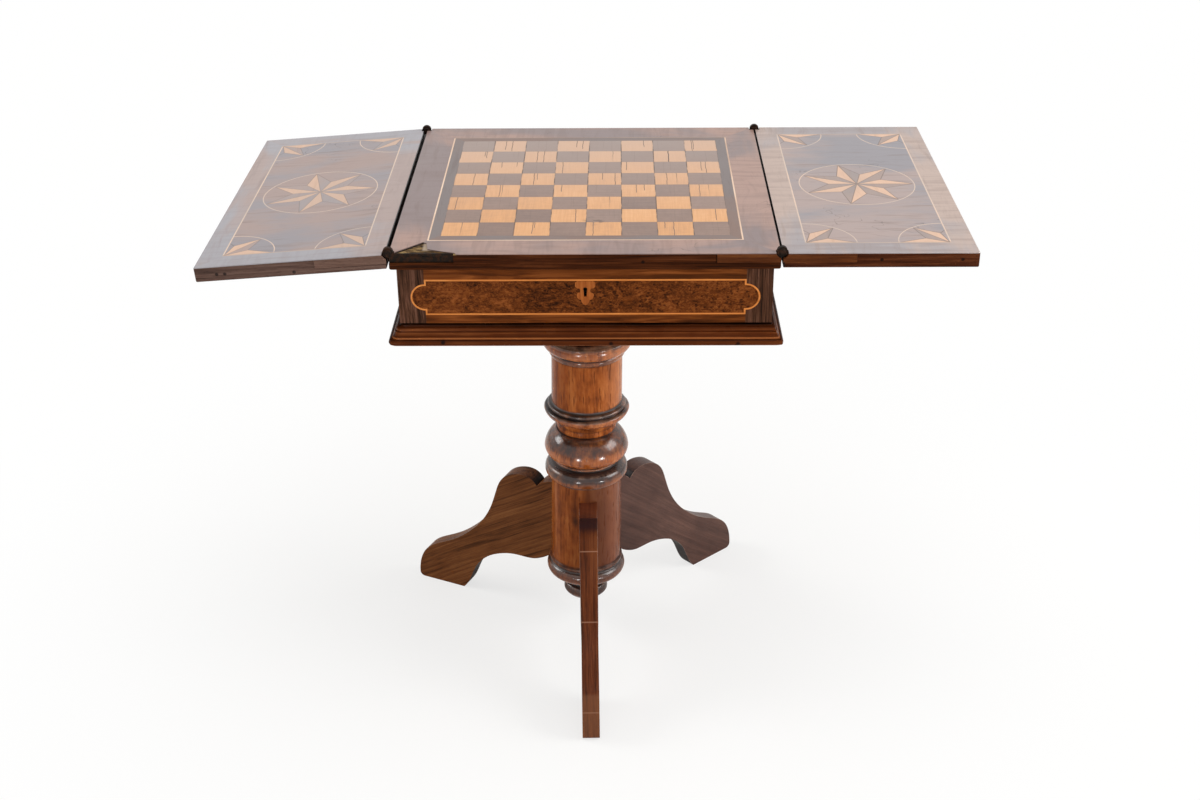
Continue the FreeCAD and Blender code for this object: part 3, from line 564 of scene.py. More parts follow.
@dataclass(frozen=True)
class Veneer:
    """Old waxed veneer seen flat: slow clouds between a warm and a cool tone, with faint wisps."""

    name: str
    warm: RGB
    cool: RGB
    dark: RGB
    grain: Grain = Grain.ALONG_X
    wisps: float = 0.5             # strength of the wavy dark wisps
    curl: float = 0.0              # bands across the grain
    balance: float = 0.0           # above zero warmer
    cracks: float = 0.0
    spots: Table = ()              # (x, y, reach, how much warmer)
    side: float = 0.0              # -1 or 1 on a leaf: its coordinates start at the hinge
    turn: Triple = (0.0, 0.0, 0.0)
    seed: float = 0.0
    roughness: float = 0.34
    specular: float = 0.35
    gap: float = 0.0               # painted shade of the hinge gap nearer to the hinge than this
    edge: float = 1.0              # painted shade of the hinge gap further out than this
    fades: float = 0.0             # how far it fades into the field along the front and back
    outlined: float = 0.0          # how dark the lines round the star and the fans are
    ringed: bool = False           # warmer inside the ring
    ray: Span = (0.0008, 0.0003)           # from the middle of such a line
    ends: Span = (0.2115, 0.2125)          # where the fading sides begin
    split: RGB = (0.035, 0.022, 0.018)
    outline: RGB = (0.06, 0.038, 0.03)
    # colour of the painted shade of the hinge gap
    black: RGB = (0.002, 0.002, 0.002)

    def spot(self, net: Net) -> Socket:
        """The piece's coordinates, from the hinge on a leaf."""
        return net.place(self.turn, (self.side * HINGE_X, 0.0, HINGE_Z if self.side else 0.0))

    def rays(self, net: Net, x: Socket, y: Socket, radii: tuple[float, float]) -> Socket:
        """Thin lines along the edges of a compass star.

        The angle folds back on itself every half point, so that one straight edge from the tip to the
        inner corner stands for all. A line is where the distance to that edge, to the point's middle
        or to the line from the centre to the inner corner is small.

        Args:
            net: the material's nodes.
            x, y: coordinates from the star's centre.
            radii: of the tips and of the inner corners.

        Returns:
            1 on the lines, 0 elsewhere.
        """
        tip, waist = radii
        half = math.pi / 7
        angle = net.math("PINGPONG", net.math("ARCTAN2", y, x), half)
        reach = net.math("SQRT", net.total(net.product(x, x), net.product(y, y)))
        out = net.product(reach, net.math("COSINE", angle))
        aside = net.product(reach, net.math("SINE", angle))
        run, rise = waist * math.cos(half) - tip, waist * math.sin(half)
        long = math.hypot(run, rise)
        edge = net.size(net.total(net.spread(out, rise / long, tip), net.product(aside, -run / long)))
        inner = net.product(reach, net.math("SINE", net.less(half, angle)))
        near = net.math("MINIMUM", net.math("MINIMUM", edge, aside),
                        net.total(inner, net.step(reach, waist, waist + 0.0005)))
        return net.product(net.step(near, *self.ray), net.step(reach, tip, tip - 0.001))

    def lines(self, net: Net, x: Socket, y: Socket) -> Socket:
        """The lines of the leaf's star and of its four fans.

        Args:
            net: the material's nodes.
            x, y: coordinates from the hinge.

        Returns:
            1 on the lines, 0 elsewhere.
        """
        middle = net.less(x, self.side * LEAF_CENTRE)
        star = self.rays(net, middle, y, STAR)
        in_x = net.less(INLAY_X, net.size(middle))
        in_y = net.less(INLAY_Y, net.size(y))
        return net.math("MAXIMUM", star, self.rays(net, in_x, in_y, FAN))

    def material(self) -> bpy.types.Material:
        """The finish as a material."""
        net = Net(self.name)
        spot = self.spot(net)
        x, y, _ = net.split(spot)
        lined = lined_up(net, spot, self.grain, self.seed)
        clouds = net.noise(net.scaled(lined, (6.0, 13.0, 1.0)), detail=3.0, rough=0.55, distortion=0.5)
        drift = net.noise(net.scaled(lined, (5.0, 9.0, 1.0)), detail=2.0)
        along, across, deep = net.split(lined)
        wavy = net.join(along, net.total(across, net.spread(drift, 0.05)), deep)
        wisps = net.noise(net.scaled(wavy, (9.0, 95.0, 1.0)), detail=3.0, rough=0.6)
        threads = net.noise(net.scaled(wavy, (35.0, 700.0, 1.0)), detail=2.0)
        warmth = net.total(clouds, self.balance, net.spread(wisps, 0.25))
        for place_x, place_y, reach, amount in self.spots:
            near = net.step(net.distance(net.join(x, y, 0.0), (place_x, place_y, 0.0)), reach, 0.2 * reach)
            warmth = net.total(warmth, net.product(near, amount))
        if self.ringed:
            centre = net.distance(net.join(x, y, 0.0), (self.side * LEAF_CENTRE, 0.0, 0.0))
            inside = net.step(centre, RING_R, RING_R - 0.001)
            warmth = net.total(warmth, net.product(inside, 0.1))
        colour = net.mix(net.step(warmth, 0.34, 0.66), self.cool, self.warm)
        thin = net.total(net.step(wisps, 0.52, 0.74), net.step(threads, 0.58, 0.8))
        colour = net.mix(net.product(thin, self.wisps), colour, self.dark)
        if self.curl:
            bands = net.noise(net.scaled(wavy, (95.0, 10.0, 1.0)), detail=2.0, rough=0.55, distortion=0.8)
            colour = net.mix(net.product(net.step(bands, 0.42, 0.68), self.curl), colour, self.dark)
        if self.cracks:
            path = net.noise(net.scaled(lined, (16.0, 26.0, 1.0)), detail=2.0, distortion=0.6)
            patch = net.noise(net.scaled(lined, (7.0, 9.0, 1.0)), detail=1.0)
            near = net.step(net.size(net.less(path, 0.5)), 0.006, 0.002)
            crack = net.product(near, net.step(patch, 0.56, 0.62), self.cracks)
            colour = net.mix(crack, colour, self.split)
        if self.outlined:
            colour = net.mix(net.product(self.lines(net, x, y), self.outlined), colour, self.outline)
        if self.fades:
            ends = net.step(net.size(y), *self.ends)
            colour = net.mix(net.product(ends, self.fades), colour, self.dark)
        # painted shade of the hinge gap along the piece's inner and outer sides
        out = net.size(x)
        gap_shade = net.math("MAXIMUM", net.step(out, self.gap, self.gap - 0.0003),
                        net.step(out, self.edge, self.edge + TOUCH))
        colour = net.mix(gap_shade, colour, self.black)
        rough = net.total(net.spread(clouds, 0.22), self.roughness)
        height = net.total(net.product(wisps, 0.5), net.product(threads, 0.3))
        return net.surface(colour, rough, net.bump(height, 0.00015), Specular_IOR_Level=self.specular)


@dataclass(frozen=True)
class Squares:
    """The veneer of one colour of the chess board: each square has its own tone and grain offset."""

    name: str
    dark: RGB
    middle: RGB
    light: RGB
    far: RGB                   # the paler, greyer tone of the back rows: a painted sheen
    grain: Grain
    width: float
    cracks: float              # how strong the splits across a square are
    variety: float             # how far squares differ from each other
    seed: float
    roughness: float = 0.34
    smudge: Triple = (0.012, -0.137, 0.0)
    glue_x: Span = (0.478, 0.492)          # shares of a square, from its middle, for its glue lines
    glue_y: Span = (0.487, 0.497)
    glue: RGB = (0.05, 0.03, 0.022)
    split: RGB = (0.06, 0.03, 0.018)
    smudged: RGB = (0.08, 0.045, 0.03)

    def splits(self, net: Net, column: Socket, row: Socket, numbers: Socket, spot: Socket) -> Socket:
        """Two splits in each square that run from its back edge towards the front.

        A split lies at a random share of the square's width, strays a little with a slow noise, and ends
        at a random share of its depth. More squares have them towards the back right.

        Args:
            net: the material's nodes.
            column, row: coordinates in squares.
            numbers: three random numbers of the square.
            spot: the coordinates.

        Returns:
            1 in a split, 0 elsewhere.
        """
        across, down = net.math("FRACT", column), net.math("FRACT", row)
        first, second, third = net.split(numbers)
        stray = net.spread(net.noise(net.scaled(spot, (25.0, 70.0, 1.0)), detail=2.0), 0.06)
        wobbled = net.total(across, stray)
        spread = net.total(net.product(column, 0.035), net.product(row, 0.045), -0.12)
        found = 0.0
        for place, end, chance in ((first, second, third), (third, first, second)):
            middle = net.total(net.product(place, 0.7), 0.15)
            line = net.step(net.size(net.less(wobbled, middle)), 0.014, 0.004)
            long = net.step(net.less(down, net.spread(end, 1.1)), 0.0, 0.12)
            kept = net.step(net.total(chance, spread), 0.42, 0.5)
            found = net.math("MAXIMUM", found, net.product(line, long, kept))
        return found

    def material(self) -> bpy.types.Material:
        """The finish as a material.

        The cell that a point lies in gives a random number, which shifts the tone and the pattern's
        place. Near a cell's sides the colour falls to a dark glue line.
        """
        net = Net(self.name)
        spot = net.place()
        x, y, z = net.split(spot)
        column, row = (net.math("DIVIDE", net.total(value, FIELD_HALF), SQUARE) for value in (x, y))
        cell = net.join(net.math("FLOOR", column), net.math("FLOOR", row), self.seed)
        numbers = net.node("TexWhiteNoise", {"Vector": cell}).outputs
        own = numbers[0]
        along, across = (x, y) if self.grain is Grain.ALONG_X else (y, x)
        shifted = net.join(net.total(along, net.product(own, 7.0)), across, z)
        drift = net.noise(net.scaled(shifted, (9.0, 20.0, 20.0)), detail=2.0)
        wavy = net.join(along, net.total(across, net.spread(drift, 0.008)), net.product(own, 3.0))
        fine = 1.0 / self.width
        streaks = net.noise(net.scaled(wavy, (22.0, fine, 1.0)), detail=4.0, rough=0.65)
        hatch = net.noise(net.scaled(wavy, (0.6 * fine, 60.0, 1.0)), detail=3.0, rough=0.6)
        clouds = net.noise(shifted, scale=24.0, detail=3.0)
        tone = net.total(0.5, net.spread(own, self.variety), net.spread(streaks, 0.7),
                         net.spread(hatch, 0.3), net.spread(clouds, 0.5))
        colour = net.ramp(tone, [(0.1, self.dark), (0.5, self.middle), (0.9, self.light)])
        # a painted sheen over the back rows
        colour = net.mix(net.product(net.step(y, -0.15, 0.22), 0.75), colour, self.far)
        crack = net.product(self.splits(net, column, row, numbers[1], spot), self.cracks)
        colour = net.mix(crack, colour, self.split)
        smudge = net.step(net.distance(net.join(x, y, 0.0), self.smudge), 0.022, 0.006)
        blots = net.step(net.noise(spot, scale=90.0, detail=4.0, rough=0.7), 0.5, 0.62)
        colour = net.mix(net.product(smudge, blots, 0.6), colour, self.smudged)
        edge_x, edge_y = (net.size(net.less(net.math("FRACT", value), 0.5)) for value in (column, row))
        sides = net.total(net.step(edge_x, *self.glue_x), net.product(net.step(edge_y, *self.glue_y), 0.3))
        line = net.product(sides, net.step(net.noise(spot, scale=40.0, detail=2.0), 0.35, 0.6))
        colour = net.mix(net.product(line, 0.85), colour, self.glue)
        height = net.less(net.product(streaks, 0.3), net.total(crack, line))
        rough = net.total(net.spread(clouds, 0.2), self.roughness)
        return net.surface(colour, rough, net.bump(height, 0.00018), Specular_IOR_Level=0.35)


@dataclass(frozen=True)
class Burl:
    """Burr walnut between figured strips: swirls, small dark eyes and clouds."""

    name: str
    dark: RGB
    middle: RGB
    light: RGB
    low: float                 # the burr lies between these heights
    high: float

    def material(self) -> bpy.types.Material:
        """The finish as a material.

        Swirls are strongly distorted noise. Eyes are small discs round random points, kept where a slow
        noise is high. Above and below the burr, streaks drawn out sideways take their place.
        """
        net = Net(self.name)
        spot = net.place()
        x, y, z = net.split(spot)
        clouds = net.noise(net.scaled(spot, (11.0, 11.0, 20.0)), detail=3.0, rough=0.5, distortion=0.6)
        swirl = net.noise(net.scaled(spot, (55.0, 55.0, 95.0)), detail=4.0, rough=0.6, distortion=1.6)
        curls = net.noise(net.scaled(spot, (150.0, 150.0, 260.0)), detail=3.0, rough=0.6, distortion=2.2)
        flow = net.noise(net.scaled(spot, (9.0, 9.0, 130.0)), detail=4.0, rough=0.6, distortion=0.7)
        burr = net.product(net.step(z, self.low, self.low + 0.001),
                           net.step(z, self.high, self.high - 0.001))
        inside = net.total(0.5, net.spread(clouds, 0.7), net.spread(swirl, 1.1), net.spread(curls, 1.3))
        tone = net.choose(burr, net.total(0.5, net.spread(flow, 1.7)), inside)
        colour = net.ramp(tone, [(0.15, self.dark), (0.5, self.middle), (0.85, self.light)])
        flat = net.join(x, 0.0, net.product(z, 1.15))
        eyes = net.cells(flat, scale=150.0)
        crowd = net.step(net.total(net.noise(flat, scale=11.0), net.product(x, 0.6)), 0.42, 0.62)
        eye = net.product(net.step(eyes, 0.34, 0.18), crowd, burr)
        colour = net.mix(net.product(eye, 0.75), colour, self.dark)
        rough = net.total(net.spread(curls, 0.12), 0.3)
        return net.surface(colour, rough, net.bump(tone, 0.00008), Specular_IOR_Level=0.03)


@dataclass(frozen=True)
class Turned:
    """Turned and stained walnut: attributes give the stain, with a painted shadow at the capital's top, the
    grime of grooves and worn ridges; the head's sides take painted shade and light, the foot's right a
    painted sheen.
    """

    name: str
    black: RGB
    dark: RGB
    middle: RGB
    light: RGB
    worn: RGB
    specular: float = 0.1
    roughness: float = 0.2
    knot: Triple = (-0.0245, -0.0478, 0.2065)
    foot: Span = (0.30, 0.255)             # heights: the redder wood below the bulb
    head: Span = (0.39, 0.40)              # the barrel above it, with painted shade on its left and painted light on its right
    # where the head's painted shade and painted light begin and are full
    left: Span = (-0.012, -0.045)
    right: Span = (0.012, 0.045)
    foot_sheen_side: Span = (0.0, 0.028)             # the foot's right half, which takes a painted sheen
    shaded: tuple[Span, Span] = ((-0.018, -0.004), (0.034, 0.016))     # and its darker middle
    head_shade: RGB = (0.15, 0.027, 0.002)
    head_light: RGB = (0.62, 0.25, 0.11)
    foot_red: RGB = (0.10, 0.022, 0.003)
    foot_sheen: RGB = (0.165, 0.068, 0.045)
    foot_dark: RGB = (0.085, 0.030, 0.018)
    knot_dark: RGB = (0.02, 0.008, 0.004)

    def material(self) -> bpy.types.Material:
        """The finish as a material: upright streaks and dashes, under a stain set by attributes."""
        net = Net(self.name)
        spot = net.place()
        drift = net.noise(net.scaled(spot, (9.0, 9.0, 4.0)), detail=2.0)
        x, y, z = net.split(spot)
        wavy = net.join(net.total(x, net.spread(drift, 0.02)), y, z)
        streaks = net.noise(net.scaled(wavy, (120.0, 120.0, 6.0)), detail=5.0, rough=0.6)
        patches = net.noise(net.scaled(spot, (26.0, 26.0, 13.0)), detail=4.0, rough=0.65)
        mottles = net.noise(net.scaled(spot, (75.0, 75.0, 55.0)), detail=3.0, rough=0.6)
        tone = net.total(0.5, net.spread(streaks, 1.5), net.spread(patches, 1.3), net.spread(mottles, 0.5))
        wood = net.ramp(tone, [(0.12, self.dark), (0.5, self.middle), (0.9, self.light)])
        low, high = net.step(z, *self.foot), net.step(z, *self.head)
        # painted shade on the head's left and painted light on its right
        wood = net.mix(net.product(high, net.step(x, *self.left), 0.4), wood, self.head_shade)
        wood = net.mix(net.product(high, net.step(x, *self.right), 0.35), wood, self.head_light)
        wood = net.mix(net.product(low, 0.4), wood, self.foot_red)
        # a painted sheen on the foot's right half
        wood = net.mix(net.product(net.step(x, *self.foot_sheen_side), low, 0.65), wood, self.foot_sheen)
        shaded = net.product(*(net.step(x, *span) for span in self.shaded), low, 0.7)
        wood = net.mix(shaded, wood, self.foot_dark)
        dashes = net.step(net.noise(net.scaled(wavy, (420.0, 420.0, 42.0)), detail=1.0), 0.60, 0.70)
        wood = net.mix(net.product(dashes, 0.75), wood, self.dark)
        round_knot = net.distance(net.scaled(wavy, (1.0, 1.0, 0.5)), (*self.knot[:2], 0.5 * self.knot[2]))
        wood = net.mix(net.product(net.step(round_knot, 0.008, 0.002), 0.9), wood, self.knot_dark)
        # the tone attribute holds a painted shadow at the top of the capital
        stain_and_shade = net.total(net.attribute("tone"), net.spread(patches, 0.5), net.spread(mottles, 0.7))
        colour = net.mix(net.step(stain_and_shade, 0.05, 0.8), self.black, wood)
        grime_and_shade = net.attribute("grime_and_shade")
        colour = net.mix(net.product(grime_and_shade, 0.85), colour, tuple(0.2 * v for v in self.black))
        rubbed = net.product(net.attribute("wear"), net.step(patches, 0.4, 0.6), 0.35)
        colour = net.mix(rubbed, colour, self.worn)
        rough = net.total(self.roughness, net.spread(patches, 0.18), net.product(grime_and_shade, 0.3))
        height = net.less(net.product(tone, 0.3), dashes)
        return net.surface(colour, rough, net.bump(height, 0.0001), Specular_IOR_Level=self.specular)


@dataclass(frozen=True)
class Moulded:
    """The moulding's dark walnut: the attribute tone gives the wood's own tone with painted highlights on
    its edges and painted shade in its hollows, with a few knots.
    """

    name: str
    dark: RGB
    middle: RGB
    light: RGB
    knots: Table = ((-0.1856, 0.6103), (0.033, 0.6083), (0.198, 0.6079))   # (x, z) in the front
    knot_reach: Span = (0.004, 0.0015)

    def material(self) -> bpy.types.Material:
        """The finish as a material: streaks along each side of the frame shift the tone."""
        net = Net(self.name)
        spot = net.place()
        lined = lined_up(net, spot, Grain.MITRED, 0.4)
        streaks = net.noise(net.scaled(lined, (7.0, 160.0, 230.0)), detail=4.0, rough=0.65)
        patches = net.noise(net.scaled(spot, (14.0, 14.0, 40.0)), detail=3.0, rough=0.6)
        # the tone attribute paints highlights on the edges and shade in the hollows
        tone = net.total(net.attribute("tone"), net.spread(streaks, 0.55), net.spread(patches, 0.4))
        colour = net.ramp(tone, [(0.05, self.dark), (0.5, self.middle), (0.98, self.light)])
        colour = dotted(net, spot, colour, self.knots, self.knot_reach, (0.004, 0.002, 0.002))
        rough = net.total(net.spread(patches, 0.2), 0.28)
        return net.surface(colour, rough, net.bump(streaks, 0.00015), Specular_IOR_Level=0.04)


@dataclass(frozen=True)
class Iron:
    """Forged iron, blackened, with rust in its hollows."""

    name: str
    colour: RGB
    rust: RGB
    roughness: float = 0.5
    metal: float = 0.0
    specular: float = 0.25

    def material(self) -> bpy.types.Material:
        """The finish as a material: hammered noise gives the bump, and its hollows the rust."""
        net = Net(self.name)
        spot = net.place()
        hammered = net.noise(spot, scale=170.0, detail=3.0)
        pitted = net.noise(spot, scale=900.0, detail=3.0, rough=0.7)
        rusted = net.step(net.total(hammered, net.spread(pitted, 0.7)), 0.55, 0.4)
        colour = net.mix(net.product(rusted, 0.7), self.colour, self.rust)
        rough = net.total(net.product(rusted, 0.25), self.roughness)
        height = net.total(hammered, net.product(pitted, 0.35))
        return net.surface(colour, rough, net.bump(height, 0.0005), Metallic=self.metal,
                           Specular_IOR_Level=self.specular)


LEFT_TURN = (0.0, LEFT_DROOP, 0.0)
LEFT = {"side": -1.0, "turn": LEFT_TURN}
RIGHT = {"side": 1.0}

TOP_RAILS = Veneer("top_walnut_rails", (0.35, 0.22, 0.178), (0.213, 0.159, 0.152), (0.145, 0.092, 0.078),
                   Grain.MITRED, wisps=0.4, curl=0.3, cracks=0.4, edge=TOP_HALF - 0.0006,
                   spots=((-0.12, -0.228, 0.09, 0.1), (0.215, 0.0, 0.15, 0.4), (0.05, -0.228, 0.08, -0.2),
                          (0.228, -0.19, 0.05, -0.2), (-0.228, 0.0, 0.2, -0.4)))
SURROUND = Veneer("dark_surround", (0.188, 0.118, 0.093), (0.158, 0.126, 0.119), (0.09, 0.052, 0.042),
                  Grain.MITRED, wisps=0.4, seed=1.3, roughness=0.36,
                  spots=((-0.2, 0.02, 0.17, -0.15), (0.2, 0.05, 0.17, -0.3), (0.0, -0.2, 0.1, 0.1)))
LEFT_FIELD = Veneer("left_leaf_walnut", (0.325, 0.238, 0.212), (0.250, 0.225, 0.238), (0.15, 0.105, 0.09),
                    seed=2.2, cracks=0.45, outlined=0.5, ringed=True, balance=-0.02, **LEFT)
RIGHT_FIELD = Veneer("right_leaf_walnut", (0.35, 0.268, 0.245), (0.24, 0.222, 0.237), (0.17, 0.125, 0.11),
                     seed=5.1, cracks=0.4, outlined=0.65, ringed=True,
                     spots=((0.19, 0.12, 0.12, -0.25), (0.05, -0.15, 0.1, 0.15)), **RIGHT)
LEFT_BORDER = Veneer("left_leaf_border", (0.35, 0.265, 0.24), (0.31, 0.295, 0.315), (0.19, 0.14, 0.13),
                     Grain.MITRED, seed=0.9, wisps=0.4, curl=0.15, gap=0.0045,
                     spots=((-0.17, -0.235, 0.14, -0.4), (-0.22, 0.1, 0.1, 0.25), (-0.02, 0.0, 0.2, 0.3),
                            (-0.1, 0.235, 0.12, -0.2)), **LEFT)
RIGHT_BORDER = Veneer("right_leaf_border", (0.43, 0.325, 0.275), (0.31, 0.275, 0.28), (0.21, 0.15, 0.13),
                      Grain.ALONG_Y, seed=3.7, balance=0.06, curl=0.35, wisps=0.4, gap=0.0016,
                      spots=((0.24, -0.03, 0.15, 0.3), (0.02, 0.0, 0.2, 0.2), (0.12, 0.24, 0.14, -0.4),
                             (0.12, -0.24, 0.12, -0.25)), **RIGHT)
LEAF_LINE = ((0.64, 0.47, 0.36), (0.54, 0.42, 0.34), (0.31, 0.225, 0.185))
LEFT_LINE = Veneer("left_leaf_line", *LEAF_LINE, wisps=0.35, fades=0.6, **LEFT)
RIGHT_LINE = Veneer("right_leaf_line", *LEAF_LINE, wisps=0.35, fades=0.5, seed=3.0, **RIGHT)
PALE = ((0.63, 0.405, 0.28), (0.52, 0.345, 0.25), (0.36, 0.22, 0.15))
DIM = ((0.325, 0.24, 0.205), (0.26, 0.215, 0.205), (0.17, 0.12, 0.105))
LEFT_DIM = ((0.345, 0.255, 0.225), (0.29, 0.245, 0.24), (0.18, 0.13, 0.115))
INLAY = {"grain": Grain.ALONG_Y, "wisps": 0.35}
PALE_LEFT = Veneer("pale_inlay_left", *PALE, outlined=0.4, balance=-0.1, **INLAY, **LEFT)
PALE_RIGHT = Veneer("pale_inlay_right", *PALE, outlined=0.65, seed=1.0, **INLAY, **RIGHT)
DIM_LEFT = Veneer("dark_inlay_left", *LEFT_DIM, outlined=0.35, **INLAY, **LEFT)
DIM_RIGHT = Veneer("dark_inlay_right", *DIM, outlined=0.55, seed=1.0, **INLAY, **RIGHT)
LIGHT_SQUARES = Squares("light_squares", (0.46, 0.22, 0.09), (0.63, 0.31, 0.125), (0.74, 0.41, 0.20),
                        (0.52, 0.36, 0.27), Grain.ALONG_Y, width=0.0022, cracks=0.95, variety=0.2,
                        seed=3.0)
DARK_SQUARES = Squares("dark_squares", (0.15, 0.09, 0.07), (0.225, 0.142, 0.108), (0.30, 0.20, 0.16),
                       (0.31, 0.24, 0.21), Grain.ALONG_X, width=0.003, cracks=0.15, variety=0.3, seed=8.0)
TOP_LINE = BoardLine("top_boxwood_line", (0.40, 0.24, 0.15), (0.66, 0.44, 0.30), (0.80, 0.60, 0.44),
                     Grain.MITRED, streaks=0.6, width=0.004, pores=0.1, clouds=1.2, roughness=0.35)
DRAWER_LINE = Wood("drawer_boxwood_line", (0.38, 0.115, 0.022), (0.64, 0.21, 0.046), (0.80, 0.32, 0.085),
                   streaks=0.7, width=0.004, pores=0.1, clouds=0.9, specular=0.05)
ESCUTCHEON = Wood("escutcheon_wood", (0.19, 0.050, 0.010), (0.33, 0.087, 0.017), (0.46, 0.15, 0.035),
                  Grain.ALONG_Z, streaks=0.7, width=0.003, pores=0.2, specular=0.05)
EDGE = ((0.012, 0.003, 0.001), (0.046, 0.011, 0.0025), (0.10, 0.028, 0.008))
EDGE_WALNUT = Wood("edge_walnut", *EDGE, width=0.005, specular=0.03, roughness=0.4, seed=0.6)
TOP_EDGE = TopBoard("top_edge_walnut", *EDGE, width=0.005, specular=0.03, roughness=0.4,
                    nails=((0.0741, 0.7204),))
RED_EDGE = ((0.018, 0.0045, 0.0015), (0.062, 0.0155, 0.005), (0.125, 0.038, 0.014))
RIGHT_EDGE = LeafBoard("right_leaf_edge", *RED_EDGE, streaks=1.1, width=0.005, specular=0.03, seed=4.4,
                       centre=(HINGE_X, 0.0, 0.0), nails=((0.1262, 0.7227), (0.2288, 0.7227)))
LEFT_EDGE = LeafBoard("left_leaf_edge", (0.035, 0.017, 0.012), (0.095, 0.050, 0.037),
                      (0.155, 0.090, 0.068), width=0.005, specular=0.08, seed=4.9, turn=LEFT_TURN,
                      centre=(-HINGE_X, 0.0, HINGE_Z),
                      nails=((-0.2218, -0.0113), (-0.2113, -0.0114), (-0.1222, -0.0155)))
RIGHT_SLIP = Wood("slip_walnut", (0.042, 0.011, 0.003), (0.095, 0.026, 0.007), (0.16, 0.052, 0.015),
                  streaks=0.8, width=0.004, specular=0.04, seed=9.1)
LEFT_SLIP = Wood("slip_walnut_left", (0.07, 0.036, 0.026), (0.155, 0.085, 0.062), (0.23, 0.145, 0.11),
                 streaks=0.8, width=0.004, specular=0.08, seed=7.1)
CASE_WALNUT = Wood("case_walnut", (0.016, 0.006, 0.003), (0.058, 0.020, 0.008), (0.115, 0.045, 0.020),
                   Grain.ALONG_Z, streaks=1.1, specular=0.05, seed=7.7)
END_BANDS = Wood("drawer_end_walnut", (0.016, 0.007, 0.004), (0.072, 0.029, 0.015), (0.15, 0.066, 0.041),
                 Grain.ALONG_Z, streaks=1.6, width=0.004, clouds=0.8, specular=0.03, seed=6.3)
MOULDING = Moulded("moulding_walnut", (0.008, 0.0025, 0.001), (0.082, 0.018, 0.0035), (0.33, 0.105, 0.03))
LEFT_LEG = LegWood("left_leg_walnut", (0.040, 0.014, 0.005), (0.135, 0.046, 0.015), (0.21, 0.080, 0.027),
                   streaks=0.95, width=0.005, wander=0.03, specular=0.05, slope=math.radians(-30.0),
                   turn=(0.0, 0.0, math.radians(-155.4)), centre=(-0.0073, 0.0, 0.0), seed=8.2)
RIGHT_LEG = LegWood("right_leg_walnut", (0.040, 0.018, 0.014), (0.085, 0.040, 0.030), (0.14, 0.068, 0.050),
                    streaks=0.55, width=0.005, wander=0.03, clouds=1.0, specular=0.2,
                    slope=math.radians(-38.0), turn=(0.0, 0.0, math.radians(-42.4)),
                    centre=(-0.0073, 0.0, 0.0), seed=4.2, scratches=0.35)
FRONT_LEG = LegWood("front_leg_walnut", (0.034, 0.009, 0.003), (0.100, 0.025, 0.008),
                    (0.165, 0.048, 0.015), width=0.005, wander=0.01, specular=0.07, squash=(1.0, 1.0, 0.05),
                    turn=(0.0, 0.0, math.radians(88.6)), centre=(-0.0053, 0.0, 0.0), seed=2.2, crest=0.85,
                    highlight_lines=((0.2172, 0.12, 0.6), (0.1247, 0.18, 0.45), (0.0435, 0.29, 0.5)))
WORN_EDGE = Wood("worn_edge", (0.12, 0.06, 0.04), (0.27, 0.16, 0.12), (0.42, 0.28, 0.22),
                 Grain.ALONG_Z, streaks=1.6, width=0.02, clouds=1.5, specular=0.3, seed=5.5)
DEAL = Wood("plain_deal", (0.22, 0.12, 0.055), (0.38, 0.235, 0.12), (0.50, 0.34, 0.20),
            streaks=0.9, width=0.012, pores=0.1, roughness=0.6, specular=0.3, seed=1.9)
BURL = Burl("burr_walnut", (0.020, 0.006, 0.002), (0.122, 0.031, 0.006), (0.26, 0.074, 0.017),
            low=0.6454, high=0.6909)
TURNED = Turned("turned_walnut", (0.032, 0.016, 0.013), (0.095, 0.020, 0.003), (0.31, 0.076, 0.013),
                (0.50, 0.16, 0.038), (0.45, 0.28, 0.20))
VARNISHED = replace(TURNED, name="varnished_walnut", specular=0.55, roughness=0.17)
IRON = Iron("forged_iron", (0.012, 0.008, 0.006), (0.045, 0.019, 0.010), specular=0.06)
LOCK_STEEL = Iron("lock_steel", (0.20, 0.19, 0.18), (0.10, 0.06, 0.035), roughness=0.4, metal=0.7,
                  specular=0.5)


# Mesh helpers -------------------------------------------------------------------------------------
def placed(obj: bpy.types.Object, body: str, material: bpy.types.Material,
           replaces: Sequence[str] = ()) -> bpy.types.Object:
    """Puts a finished piece on its body, with its finish.

    Args:
        obj: the piece, with its place in its mesh.
        body: the CAD body that carries it.
        material: the finish.
        replaces: CAD nodes that it stands for.

    Returns:
        The piece.
    """
    obj.data.materials.clear()
    obj.data.materials.append(material)
    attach(obj, body)
    if replaces:
        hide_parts(*replaces)
    LOG.info("%s rides on %s, %d faces", obj.name, body, len(obj.data.polygons))
    return obj


def dressed(node: str, material: bpy.types.Material) -> None:
    """Gives a CAD node its finish.

    Args:
        node: the node, which stays as it is.
        material: the finish.
    """
    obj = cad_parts[node]
    if not obj.material_slots:
        obj.data.materials.append(material)
    for slot in obj.material_slots:
        slot.material = material
    LOG.info("%s is dressed in %s", node, material.name)


def linked(name: str, data: bpy.types.ID) -> bpy.types.Object:
    """A new object in the scene.

    Args:
        name: its name.
        data: its mesh, lamp or camera.

    Returns:
        The object.
    """
    obj = bpy.data.objects.new(name, data)
    bpy.context.scene.collection.objects.link(obj)
    return obj


